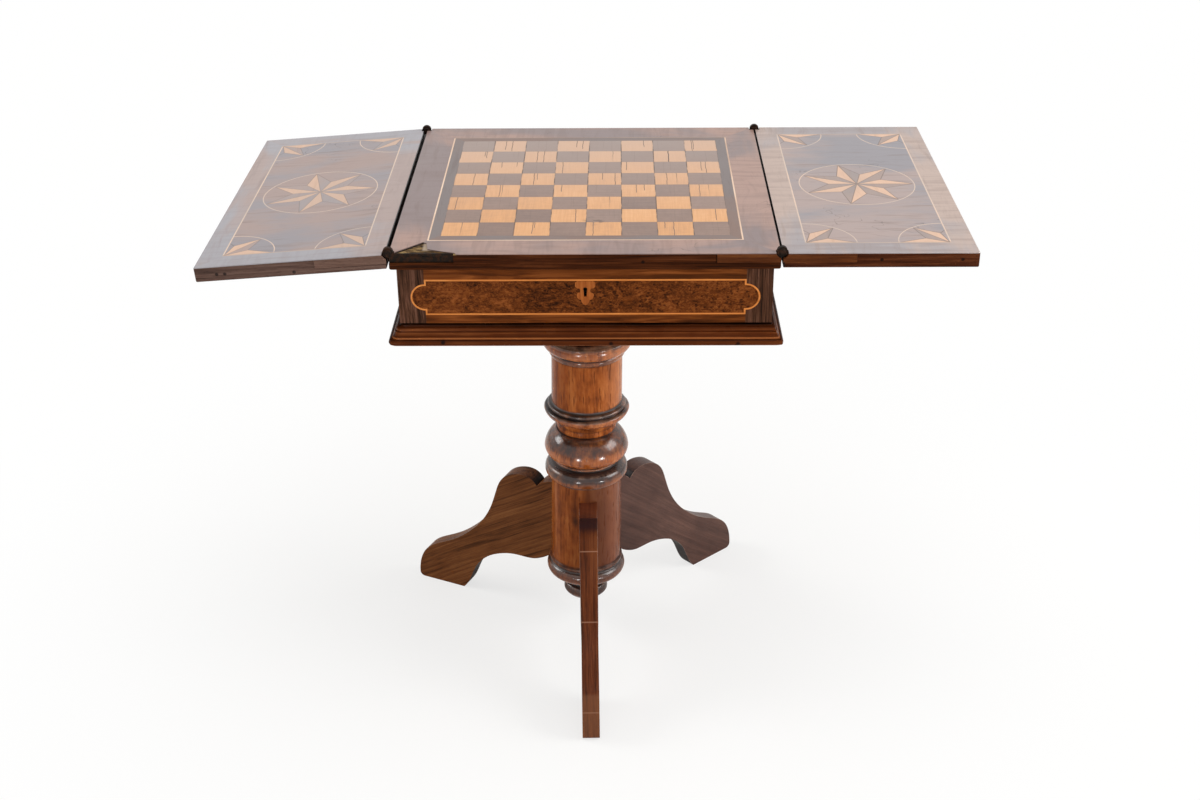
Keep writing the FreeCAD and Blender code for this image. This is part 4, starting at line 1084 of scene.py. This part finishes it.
def from_grid(name: str, points: Points, round_columns: bool = False,
              round_rows: bool = False) -> bpy.types.Object:
    """A surface through a grid of points.

    Each quad joins four neighbouring points. Rows that shrink to one point become poles, because points
    that fall together are merged, and the normals are then made to face outwards.

    Args:
        name: the piece's name.
        points: rows by columns by 3, in the scene's frame.
        round_columns: whether the last column joins the first.
        round_rows: whether the last row joins the first.

    Returns:
        The object.
    """
    rows, columns = points.shape[:2]
    index = np.arange(rows * columns).reshape(rows, columns)
    if round_columns:
        index = np.concatenate([index, index[:, :1]], axis=1)
    if round_rows:
        index = np.concatenate([index, index[:1]], axis=0)
    quads = np.stack([index[:-1, :-1], index[:-1, 1:], index[1:, 1:], index[1:, :-1]], axis=-1)
    mesh = bpy.data.meshes.new(name)
    mesh.from_pydata(points.reshape(-1, 3).tolist(), [], quads.reshape(-1, 4).tolist())
    merged(mesh)
    mesh.shade_smooth()
    return linked(name, mesh)


def merged(mesh: bpy.types.Mesh, flat: bool = False) -> None:
    """Merges a mesh's doubled points and turns its faces outwards.

    Args:
        mesh: the mesh.
        flat: whether faces in one plane are joined into one.
    """
    shape = bmesh.new()
    shape.from_mesh(mesh)
    bmesh.ops.remove_doubles(shape, verts=shape.verts, dist=DOUBLED)
    if flat:
        bmesh.ops.dissolve_limit(shape, angle_limit=FLAT, verts=shape.verts, edges=shape.edges)
    bmesh.ops.recalc_face_normals(shape, faces=shape.faces)
    shape.to_mesh(mesh)
    shape.free()


def arrises(mesh: bpy.types.Mesh, degrees: float) -> tuple[np.ndarray, Points]:
    """The sharp edges of a closed mesh.

    Each edge's two faces come from sorting the face corners by edge, and the edge is sharp where the
    angle between the two normals is larger than asked.

    Args:
        mesh: the mesh.
        degrees: the smallest angle that counts as sharp.

    Returns:
        Whether each edge is sharp, and the middles of the edges.
    """
    corners = read(mesh.loops, "edge_index", kind=int)
    counts = read(mesh.polygons, "loop_total", kind=int)
    normals = read(mesh.polygons, "normal", 3)
    faces = np.repeat(np.arange(len(counts)), counts)
    order = np.argsort(corners, kind="stable")
    uses = np.bincount(corners, minlength=len(mesh.edges))
    first = np.concatenate([[0], np.cumsum(uses)[:-1]])
    pair = uses == 2
    sharp = np.zeros(len(mesh.edges), bool)
    one, two = faces[order[first[pair]]], faces[order[first[pair] + 1]]
    sharp[pair] = np.einsum("ij,ij->i", normals[one], normals[two]) < math.cos(math.radians(degrees))
    ends = read(mesh.edges, "vertices", 2, int)
    return sharp, read(mesh.vertices, "co", 3)[ends].mean(axis=1)


def read(rows: Sequence, name: str, width: int = 1, kind: type = float) -> np.ndarray:
    """One property of all points, edges or faces of a mesh.

    Args:
        rows: the mesh's points, edges, faces or face corners.
        name: the property.
        width: how many numbers it holds.
        kind: float or int.

    Returns:
        An array, with a column for each number where there are several.
    """
    values = np.empty(len(rows) * width, kind)
    rows.foreach_get(name, values)
    return values.reshape(-1, width) if width > 1 else values


def eased(node: str, width: float, where: Choice | None = None, segments: int = 2,
          worn: bpy.types.Material | None = None) -> bpy.types.Object:
    """A copy of a CAD node with its arrises rounded.

    Args:
        node: the node.
        width: the size of the rounding.
        where: says which sharp edges are rounded, from their middles on the table's own axis.
        segments: facets across a rounding.
        worn: says that the roundings take the piece's second finish.

    Returns:
        The object, named after the node.
    """
    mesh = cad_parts[node].data.copy()
    mesh.name = node + "_eased"
    if "custom_normal" in mesh.attributes:
        mesh.attributes.remove(mesh.attributes["custom_normal"])
    merged(mesh, flat=True)
    sharp, middles = arrises(mesh, ARRIS)
    if where is not None:
        sharp &= where(middles - np.array([*AXIS, 0.0]))
    weights = mesh.attributes.new("bevel_weight_edge", "FLOAT", "EDGE")
    weights.data.foreach_set("value", sharp.astype(np.float32))
    mesh.shade_smooth()
    mesh.set_sharp_from_angle(angle=math.radians(CREASE))
    obj = linked(node + "_eased", mesh)
    rounding = obj.modifiers.new("rounding", "BEVEL")
    rounding.width = width
    rounding.segments = segments
    rounding.limit_method = "WEIGHT"
    rounding.use_clamp_overlap = True
    rounding.harden_normals = True
    rounding.miter_outer = "MITER_ARC"
    if worn:
        rounding.material = 1
    return obj


def recut(node: str, body: str, material: bpy.types.Material, width: float,
          where: Choice | None = None) -> None:
    """Puts a CAD node's eased copy in the node's place, with its finish."""
    placed(eased(node, width, where), body, material, [node])


def traced(steps: Table, spacing: float) -> Points:
    """Points along a profile of lines and arcs.

    A step of two numbers is a line to that point. A step of four is an arc through the first pair to the
    second: its centre is where the bisectors of its two chords meet, and its points turn evenly round it.

    Args:
        steps: (radius, z) steps, or (middle, end) arcs.
        spacing: the distance between points.

    Returns:
        The points, n by 2.
    """
    runs = [np.array([steps[0]], float)]
    for step in steps[1:]:
        start, end = runs[-1][-1], np.array(step[-2:], float)
        if len(step) == 4:
            middle = np.array(step[:2], float)
            chords = np.array([middle - start, end - middle])
            halves = np.array([(middle @ middle - start @ start) / 2, (end @ end - middle @ middle) / 2])
            centre = np.linalg.solve(chords, halves)
            angles = np.unwrap([math.atan2(*(point - centre)[::-1]) for point in (start, middle, end)])
            radius = np.hypot(*(start - centre))
            count = max(3, round(abs(angles[2] - angles[0]) * radius / spacing))
            turn = np.linspace(angles[0], angles[2], count + 1)[1:]
            runs.append(centre + radius * np.stack([np.cos(turn), np.sin(turn)], axis=1))
        else:
            count = max(1, round(np.hypot(*(end - start)) / spacing))
            runs.append(start + (end - start) * np.linspace(0, 1, count + 1)[1:, None])
    return np.concatenate(runs)


def leaned(points: Points) -> Points:
    """Points near the pillar, leaned with it about its middle under the bearer.

    Args:
        points: any array of points on the pillar's own axis.

    Returns:
        The points in the scene's frame.
    """
    spot = np.array([0.0, 0.0, BEARER_Z])
    turn = np.array(Matrix.Rotation(PILLAR_LEAN, 3, "Y"))
    return (points - spot) @ turn.T + spot + np.array([AXIS[0] + PILLAR_X, AXIS[1], 0.0])


def numbers_on(obj: bpy.types.Object, name: str, values: np.ndarray) -> None:
    """Stores one number for each point of a piece."""
    stored = obj.data.attributes.new(name, "FLOAT", "POINT")
    stored.data.foreach_set("value", values.astype(np.float32))


# Sub-assemblies -----------------------------------------------------------------------------------
@dataclass
class Pillar:
    """The turned pillar, its drop and its three legs."""

    segments: int = 96
    spacing: float = 1.0           # between points of the profile, in millimetres
    leg_rounding: float = 0.0016
    leg_start: float = 0.068       # the legs' arrises are eased further out than this
    wear_reach: float = 0.0025     # height over which a ridge is told from what is round it
    grime_reach: float = 0.0035    # the same for a groove
    shallow: float = 0.0003        # a ridge or groove of less than this stays as it is
    full_wear: float = 0.0006      # with this much more it is fully worn
    full_grime: float = 0.0012     # or fully dirty
    body_steps: Table = (
        (0.0, 91.0), (48.0, 91.0), (58.9, 97.2, 60.6, 101.4), (60.2, 107.2, 56.4, 112.4),
        (54.4, 113.4), (54.4, 116.0), (56.8, 119.2, 55.2, 122.4), (53.8, 123.2),
        (54.0, 190.0, 52.7, 266.8), (55.6, 267.4), (60.9, 271.0, 62.9, 278.2), (61.5, 284.8, 58.8, 288.8),
        (49.8, 293.0), (48.4, 293.4), (49.6, 295.4, 48.2, 297.2), (46.0, 297.8),
        (44.5, 298.8), (57.8, 303.8, 63.6, 317.0), (58.2, 333.2, 46.0, 346.5),
        (43.4, 347.6), (44.8, 351.8, 43.4, 356.2), (44.4, 358.6), (48.6, 369.2), (62.0, 376.4, 64.1, 382.2),
        (63.2, 383.7, 59.3, 385.2), (56.4, 385.6), (58.8, 388.4, 56.2, 391.8), (54.0, 392.6),
        (52.8, 394.2), (52.7, 430.0, 52.6, 471.6), (55.0, 472.6), (56.6, 477.0, 55.2, 480.4),
        (54.4, 481.0), (55.6, 482.0), (63.2, 485.6, 65.4, 497.8), (66.2, 500.6, 65.4, 502.8),
        (60.0, 506.5), (54.0, 508.0), (50.6, 511.0, 50.0, 517.0), (49.6, 537.0, 51.0, 556.0),
        (53.0, 561.0), (58.6, 566.6, 60.0, 573.0), (59.0, 579.4, 55.0, 583.0),
        (55.0, 584.5), (30.0, 584.5), (30.0, 608.0), (0.0, 608.0))
    drop_steps: Table = (
        (0.0, 44.0), (13.0, 45.2), (27.4, 49.9, 34.1, 57.6), (33.4, 64.9, 31.7, 69.1),
        (27.0, 70.4), (25.0, 77.0, 28.0, 86.0), (31.0, 91.0), (12.0, 91.0), (12.0, 113.0), (0.0, 113.0))
    # how far the orange wood shows through the stain, by height; at the top of the capital, under the box,
    # it is dark as a painted shadow
    stain_and_shade: Table = ((44, 0.25), (58, 0.3), (70, 0.1), (90, 0.1), (92, 0.8), (97, 0.8), (101, 0.6),
                    (108, 0.45), (113, 0.15), (116, 0.3), (119, 0.5), (122, 0.25), (125, 0.7), (130, 0.95),
                    (250, 1.0), (258, 0.95), (264, 0.7), (267, 0.2), (269, 0.6), (272, 0.85), (276, 0.65),
                    (280, 0.3), (288, 0.12), (292, 0.03), (294, 0.3), (296, 0.6), (298, 0.2), (300, 0.7),
                    (303, 0.95), (313, 0.95), (319, 0.7), (326, 0.36), (342, 0.28), (346, 0.3), (348, 0.5),
                    (350, 0.95), (355, 0.95), (357, 0.4), (359, 0.6), (367, 0.65), (369, 0.4), (371, 0.85),
                    (379, 0.9), (382, 0.6), (384, 0.2), (393, 0.2), (396, 0.5), (399, 0.9), (402, 1.0),
                    (464, 1.0), (470, 0.9), (472, 0.3), (474, 0.45), (479, 0.45), (481, 0.15), (483, 0.55),
                    (486, 0.85), (494, 0.9), (498, 0.6), (503, 0.2), (508, 0.1), (520, 0.7), (584, 0.7))
    # heights that kept their gloss
    varnished: Table = ((44, 120), (264, 347), (370, 396), (471, 507))

    def lathe(self, name: str, steps: Table) -> bpy.types.Object:
        """A turned piece.

        Its surface is the profile turned round the axis: the point at angle a and profile place s is
        (r(s) cos a, r(s) sin a, z(s)), leaned with the pillar. The profile's corners are softened by
        averaging each point with its neighbours. Grime is how far the radius lies below the mean radius
        within the grime's reach in height, and wear how far it stands out from the mean within its own.

        Args:
            name: the piece's name.
            steps: the profile's steps in millimetres.

        Returns:
            The object.
        """
        profile = traced(steps, self.spacing)
        soft = profile.copy()
        soft[1:-1] = 0.25 * profile[:-2] + 0.5 * profile[1:-1] + 0.25 * profile[2:]
        radius, height = soft.T * MM
        angle = np.linspace(0.0, 2 * math.pi, self.segments, endpoint=False)
        wobble = 1.0 + 0.002 * np.sin(3 * angle + 1.0) + 0.001 * np.sin(7 * angle)
        ring = radius[:, None] * wobble
        points = np.stack([ring * np.cos(angle), ring * np.sin(angle),
                           np.broadcast_to(height[:, None], ring.shape)], axis=-1)
        turned = leaned(points)
        below = height <= BEARER_Z
        turned[below, :, 2] = np.minimum(turned[below, :, 2], BEARER_Z)
        obj = from_grid(name, turned, round_columns=True)
        gaps = np.abs(height[:, None] - height[None, :])
        near, wide = ((close * radius[None, :]).sum(axis=1) / close.sum(axis=1)
                      for close in (gaps < self.wear_reach, gaps < self.grime_reach))
        level = read(obj.data.vertices, "co", 3)[:, 2]
        order = np.argsort(height, kind="stable")
        grime_and_shade = np.clip((wide - radius - self.shallow) / self.full_grime, 0.0, 1.0)
        wear = np.clip((radius - near - self.shallow) / self.full_wear, 0.0, 1.0)
        numbers_on(obj, "grime_and_shade", np.interp(level, height[order], grime_and_shade[order]))
        numbers_on(obj, "wear", np.interp(level, height[order], wear[order]))
        numbers_on(obj, "tone", np.interp(level / MM, *zip(*self.stain_and_shade)))
        return obj

    def glossed(self, obj: bpy.types.Object, finish: bpy.types.Material) -> None:
        """Gives the faces at the varnished heights the glossier finish.

        Args:
            obj: the turned piece.
            finish: the glossier finish.
        """
        obj.data.materials.append(finish)
        level = read(obj.data.polygons, "center", 3)[:, 2] / MM
        kept = np.any([(level > low) & (level < high) for low, high in self.varnished], axis=0)
        obj.data.polygons.foreach_set("material_index", kept.astype(np.int32))

    def clear_of_pillar(self, spot: Points) -> np.ndarray:
        """Whether points lie outside the pillar."""
        return np.hypot(spot[:, 0], spot[:, 1]) > self.leg_start

    def build(self) -> None:
        """Makes the column, the drop and the legs."""
        finish, gloss, worn = TURNED.material(), VARNISHED.material(), WORN_EDGE.material()
        for name, steps, node in (("turned_column", self.body_steps, "column"),
                                  ("turned_drop", self.drop_steps, "pendant")):
            turned = placed(self.lathe(name, steps), "stand", finish, [node])
            self.glossed(turned, gloss)
        for node, wood in (("front_leg", FRONT_LEG), ("left_leg", LEFT_LEG), ("right_leg", RIGHT_LEG)):
            leg = eased(node, self.leg_rounding, self.clear_of_pillar, 3, worn)
            placed(leg, "stand", wood.material(), [node])
            leg.data.materials.append(worn)


@dataclass
class Box:
    """The bearer, the base moulding and the boards of the box."""

    rounding: float = 0.0006
    moulding_half: float = 0.2575
    profile: Table = (
        (228.0, 604.5), (254.5, 604.5), (257.5, 608.6, 254.5, 612.7), (252.9, 612.9), (252.7, 614.5),
        (250.9, 616.9, 249.3, 621.5), (248.1, 621.7), (247.9, 624.1), (247.3, 625.9, 245.7, 626.9),
        (243.5, 627.1), (243.3, 629.5), (228.0, 629.5))
    # how light the moulding is, by height: the wood's own tone, with painted highlights on its edges and
    # painted shade in its hollows
    tones_and_light: Table = ((604.5, 0.35), (605.8, 0.75), (607.0, 0.45), (609.0, 0.5), (611.5, 0.45), (612.6, 0.1),
                    (613.2, 1.15), (614.6, 1.0), (615.5, 0.35), (618.0, 0.5), (620.8, 0.65), (622.0, 0.4),
                    (624.0, 0.6), (625.0, 0.55), (627.0, 0.35), (629.5, 0.1))
    spacing: float = 0.8           # between points of the profile, in millimetres
    side_steps: int = 60
    crowding: float = 1.6          # above 1, the points crowd towards the corners
    corner_wear: float = 0.0011
    worn_reach: float = 0.004
    worn_from: float = 0.24        # only what stands out further than this is worn

    def moulding(self) -> bpy.types.Object:
        """The base moulding, carried round the box in one piece.

        A point at place f from -1 to 1 along the front side and distance h from the axis is (f h, -h),
        and the other sides are this one turned. At a corner h shrinks by the corner's wear, which falls
        off as a bell curve of the distance from the corner and is twice as deep at the front left.

        Returns:
            The object.
        """
        reach, height = (traced(self.profile, self.spacing) * MM).T
        place = np.linspace(-1.0, 1.0, self.side_steps + 1)[:-1]
        place = np.sign(place) * (1.0 - (1.0 - np.abs(place)) ** self.crowding)
        left, right = (np.exp(-((1.0 + way * place) * self.moulding_half / self.worn_reach) ** 2)
                       for way in (1.0, -1.0))
        rings = []
        for turn in range(4):
            first, last = (2.0 if turn == deepest else 1.0 for deepest in (0, 3))
            deep = self.corner_wear * (left * first + right * last)
            half = reach[:, None] - np.where(reach[:, None] > self.worn_from, deep[None, :], 0.0)
            along, out = place[None, :] * half, -half
            cosine, sine = round(math.cos(turn * math.pi / 2)), round(math.sin(turn * math.pi / 2))
            rings.append(np.stack([along * cosine - out * sine, along * sine + out * cosine,
                                   np.broadcast_to(height[:, None], along.shape)], axis=-1))
        points = np.concatenate(rings, axis=1) + np.array([*AXIS, 0.0])
        obj = from_grid("base_moulding", points, round_columns=True, round_rows=True)
        obj.data.set_sharp_from_angle(angle=math.radians(30.0))
        level = read(obj.data.vertices, "co", 3)[:, 2]
        numbers_on(obj, "tone", np.interp(level / MM, *zip(*self.tones_and_light)))
        return obj

    def build(self) -> None:
        """Makes the boards and mouldings of the box."""
        deal, case = DEAL.material(), CASE_WALNUT.material()
        placed(self.moulding(), "stand", MOULDING.material(),
               ["base_moulding_" + name for name in ("front", "back", "left", "right")])
        for node in ("case_left_side", "case_right_side", "case_back"):
            recut(node, "stand", case, self.rounding)
        recut("column_bearer", "stand", deal, self.rounding)
        dressed("case_bottom", deal)
        dressed("bearer_screws", IRON.material())


@dataclass
class Top:
    """The two boards of the top with the chess board, and its half of the hinges."""

    rounding: float = 0.0008
    iron_rounding: float = 0.0005

    def at_rim(self, spot: Points) -> np.ndarray:
        """Whether points lie on the upper outer arris of the top."""
        rim = np.maximum(np.abs(spot[:, 0]), np.abs(spot[:, 1])) > TOP_HALF - TOUCH
        return rim & (spot[:, 2] > TOP_Z - TOUCH)

    def build(self) -> None:
        """Makes the boards, the inlay and the ironwork of the top."""
        iron = IRON.material()
        recut("top_board", "stand", TOP_EDGE.material(), self.rounding,
              lambda spot: spot[:, 2] < CORE_Z - TOUCH)
        recut("under_top", "stand", EDGE_WALNUT.material(), self.rounding)
        recut("top_banding", "stand", TOP_RAILS.material(), self.rounding, self.at_rim)
        for node, finish in (("top_stringing", TOP_LINE), ("board_surround", SURROUND),
                             ("light_squares", LIGHT_SQUARES), ("dark_squares", DARK_SQUARES)):
            dressed(node, finish.material())
        recut("top_hinge_straps", "stand", iron, self.iron_rounding)
        dressed("hinge_rivets", iron)
        dressed("top_hinge_screws", iron)
        recut("top_hinge_covers", "stand", RIGHT_SLIP.material(), self.iron_rounding)


@dataclass
class Leaf:
    """One folding leaf."""

    body: str
    side: float                # 1 right, -1 left
    field: Veneer
    border: Veneer
    line: Veneer
    pale: Veneer
    dim: Veneer
    edge: Wood
    slip: Wood
    droop: float = 0.0
    rounding: float = 0.0008
    iron_rounding: float = 0.0005
    inner: float = 0.2545          # its arrises lie nearer to the table's axis than this
    outer: float = 0.5010          # and further out than this

    def level(self, spot: Points) -> Points:
        """Points of the leaf, turned level about its hinge.

        Args:
            spot: the points as the leaf rests.

        Returns:
            The points as they would lie if the leaf were level.
        """
        pivot = np.array([self.side * HINGE_X, 0.0, HINGE_Z])
        turn = np.array(Matrix.Rotation(self.droop, 3, "Y"))
        return (spot - pivot) @ turn.T + pivot

    def at_rim(self, spot: Points) -> np.ndarray:
        """Whether points lie on the upper outer arris of the leaf."""
        flat = self.level(spot)
        reach = np.abs(flat[:, 0])
        rim = (np.abs(flat[:, 1]) > TOP_HALF - TOUCH) | (reach > self.outer) | (reach < self.inner)
        return rim & (flat[:, 2] > TOP_Z - TOUCH)

    def build(self) -> None:
        """Makes the board, the inlay and the ironwork of the leaf."""
        iron, leaf = IRON.material(), self.body
        recut(leaf + "_board", leaf, self.edge.material(), self.rounding,
              lambda spot: self.level(spot)[:, 2] < CORE_Z - TOUCH)
        recut(leaf + "_border", leaf, self.border.material(), self.rounding, self.at_rim)
        for name, finish in (("_field", self.field), ("_stringing", self.line),
                             ("_light_points", self.pale), ("_dark_points", self.dim)):
            dressed(leaf + name, finish.material())
        recut(leaf + "_hinge_straps", leaf, iron, self.iron_rounding)
        dressed(leaf + "_hinge_screws", iron)
        recut(leaf + "_hinge_covers", leaf, self.slip.material(), self.iron_rounding)


@dataclass
class Drawer:
    """The drawer with its veneered front and its lock."""

    rounding: float = 0.0006

    def build(self) -> None:
        """Makes the drawer, the keyhole plate, the lock and its bolt."""
        deal, steel = DEAL.material(), LOCK_STEEL.material()
        recut("drawer_front", "drawer", EDGE_WALNUT.material(), self.rounding)
        for node, finish in (("drawer_burl_panel", BURL), ("drawer_end_bands", END_BANDS),
                             ("drawer_stringing", DRAWER_LINE), ("escutcheon", ESCUTCHEON)):
            dressed(node, finish.material())
        for node in ("drawer_left_side", "drawer_right_side", "drawer_back", "drawer_bottom"):
            dressed(node, deal)
        for node in ("lock_case", "lock_screws", "lock_bolt"):
            dressed(node, steel)


@dataclass(frozen=True)
class Lamp:
    """A square soft light."""

    name: str
    eye: Triple                # where it stands
    side: float                # of the square
    radiance: float            # how bright its face looks, where 1 is the white of the backdrop


@dataclass
class Studio:
    """The pale floor, the soft light and the camera."""

    lens: float = 49.257
    eye: Triple = (0.0426068, -2.152775, 1.5382145)
    yaw: float = -0.0129
    pitch: float = 0.4845
    roll: float = -0.0079
    sensor: float = 36.0
    ambient: float = 0.42
    floor_half: float = 9.0
    floor_colour: RGB = (0.87, 0.86, 0.835)
    glow_colour: RGB = (1.0, 1.0, 0.997)
    aim: Triple = (0.0, 0.0, 0.6)  # of the lamps
    lamps: tuple[Lamp, ...] = (Lamp("overhead", (0.2, -0.3, 2.9), 2.2, 1.7),
                               Lamp("left_window", (-2.5, 0.6, 1.9), 1.15, 8.5),
                               Lamp("right_window", (2.5, -0.3, 1.8), 1.6, 6.5),
                               Lamp("low_left", (-1.15, -3.1, 0.12), 0.22, 120.0),
                               Lamp("low_right", (2.2, -2.4, 0.12), 0.22, 120.0))

    def light(self, lamp: Lamp) -> None:
        """Sets up a lamp that faces the table.

        Args:
            lamp: the lamp.
        """
        data = bpy.data.lights.new(lamp.name, "AREA")
        data.shape = "SQUARE"
        data.size = lamp.side
        data.energy = lamp.radiance * math.pi * lamp.side ** 2
        obj = linked(lamp.name, data)
        obj.location = lamp.eye
        obj.rotation_euler = (Vector(self.aim) - Vector(lamp.eye)).to_track_quat("-Z", "Y").to_euler()

    def floor(self) -> None:
        """A pale floor that keeps the table's shadow, and runs into the white backdrop further out."""
        far = self.floor_half
        mesh = bpy.data.meshes.new("pale_floor")
        mesh.from_pydata([(-far, -far, 0.0), (far, -far, 0.0), (far, far, 0.0), (-far, far, 0.0)], [],
                         [(0, 1, 2, 3)])
        obj = linked("pale_floor", mesh)
        net = Net("pale_floor")
        matt = net.node("BsdfDiffuse", {"Color": self.floor_colour})
        glow = net.node("Emission", {"Color": self.glow_colour, "Strength": 1.0})
        seen = net.node("LightPath", {}).outputs["Is Camera Ray"]
        away = net.step(net.distance(net.place(), (0.0, 0.1, 0.0)), 0.3, 1.2)
        share = net.product(seen, net.total(0.7, net.product(away, 0.3)))
        mixed = net.node("MixShader", {0: share})
        net.tree.links.new(matt.outputs[0], mixed.inputs[1])
        net.tree.links.new(glow.outputs[0], mixed.inputs[2])
        output = net.node("OutputMaterial", {})
        net.tree.links.new(mixed.outputs[0], output.inputs[0])
        mesh.materials.append(net.material)

    def backdrop(self) -> None:
        """A white world for the camera and for reflections, and a dimmer one as light."""
        world = bpy.data.worlds.new("backdrop")
        bpy.context.scene.world = world
        world.use_nodes = True
        tree = world.node_tree
        tree.nodes.clear()
        path = tree.nodes.new("ShaderNodeLightPath")
        shows = path.outputs["Is Camera Ray"]
        for ray in ("Is Glossy Ray", "Is Transmission Ray"):
            most = tree.nodes.new("ShaderNodeMath")
            most.operation = "MAXIMUM"
            tree.links.new(shows, most.inputs[0])
            tree.links.new(path.outputs[ray], most.inputs[1])
            shows = most.outputs[0]
        mixed = tree.nodes.new("ShaderNodeMixShader")
        tree.links.new(shows, mixed.inputs[0])
        for number, strength in ((1, self.ambient), (2, 1.0)):
            sky = tree.nodes.new("ShaderNodeBackground")
            sky.inputs[0].default_value = (1.0, 1.0, 1.0, 1.0)
            sky.inputs[1].default_value = strength
            tree.links.new(sky.outputs[0], mixed.inputs[number])
        output = tree.nodes.new("ShaderNodeOutputWorld")
        tree.links.new(mixed.outputs[0], output.inputs[0])

    def camera(self) -> None:
        """The camera: its axes are right, up and back, turned by yaw, pitch and roll."""
        ahead = Vector((math.sin(self.yaw) * math.cos(self.pitch),
                        math.cos(self.yaw) * math.cos(self.pitch), -math.sin(self.pitch)))
        level = Vector((math.cos(self.yaw), -math.sin(self.yaw), 0.0))
        over = level.cross(ahead)
        right = level * math.cos(self.roll) + over * math.sin(self.roll)
        above = over * math.cos(self.roll) - level * math.sin(self.roll)
        data = bpy.data.cameras.new("camera")
        data.lens = self.lens
        data.sensor_width = self.sensor
        obj = linked("camera", data)
        axes = Matrix((right, above, -ahead)).transposed().to_4x4()
        obj.matrix_world = Matrix.Translation(self.eye) @ axes
        bpy.context.scene.camera = obj

    def build(self) -> None:
        """Sets up floor, backdrop, lights and camera."""
        bpy.context.scene.view_settings.view_transform = "Standard"
        self.floor()
        self.backdrop()
        for lamp in self.lamps:
            self.light(lamp)
        self.camera()


def main() -> None:
    """Builds the table's looks sub-assembly by sub-assembly, then the studio."""
    logging.basicConfig(level=logging.INFO, format="%(message)s")
    Pillar().build()
    Box().build()
    Top().build()
    Leaf("left_leaf", -1.0, LEFT_FIELD, LEFT_BORDER, LEFT_LINE, PALE_LEFT, DIM_LEFT, LEFT_EDGE, LEFT_SLIP,
         LEFT_DROOP).build()
    Leaf("right_leaf", 1.0, RIGHT_FIELD, RIGHT_BORDER, RIGHT_LINE, PALE_RIGHT, DIM_RIGHT, RIGHT_EDGE,
         RIGHT_SLIP).build()
    Drawer().build()
    Studio().build()


if __name__ == "__main__":
    main()
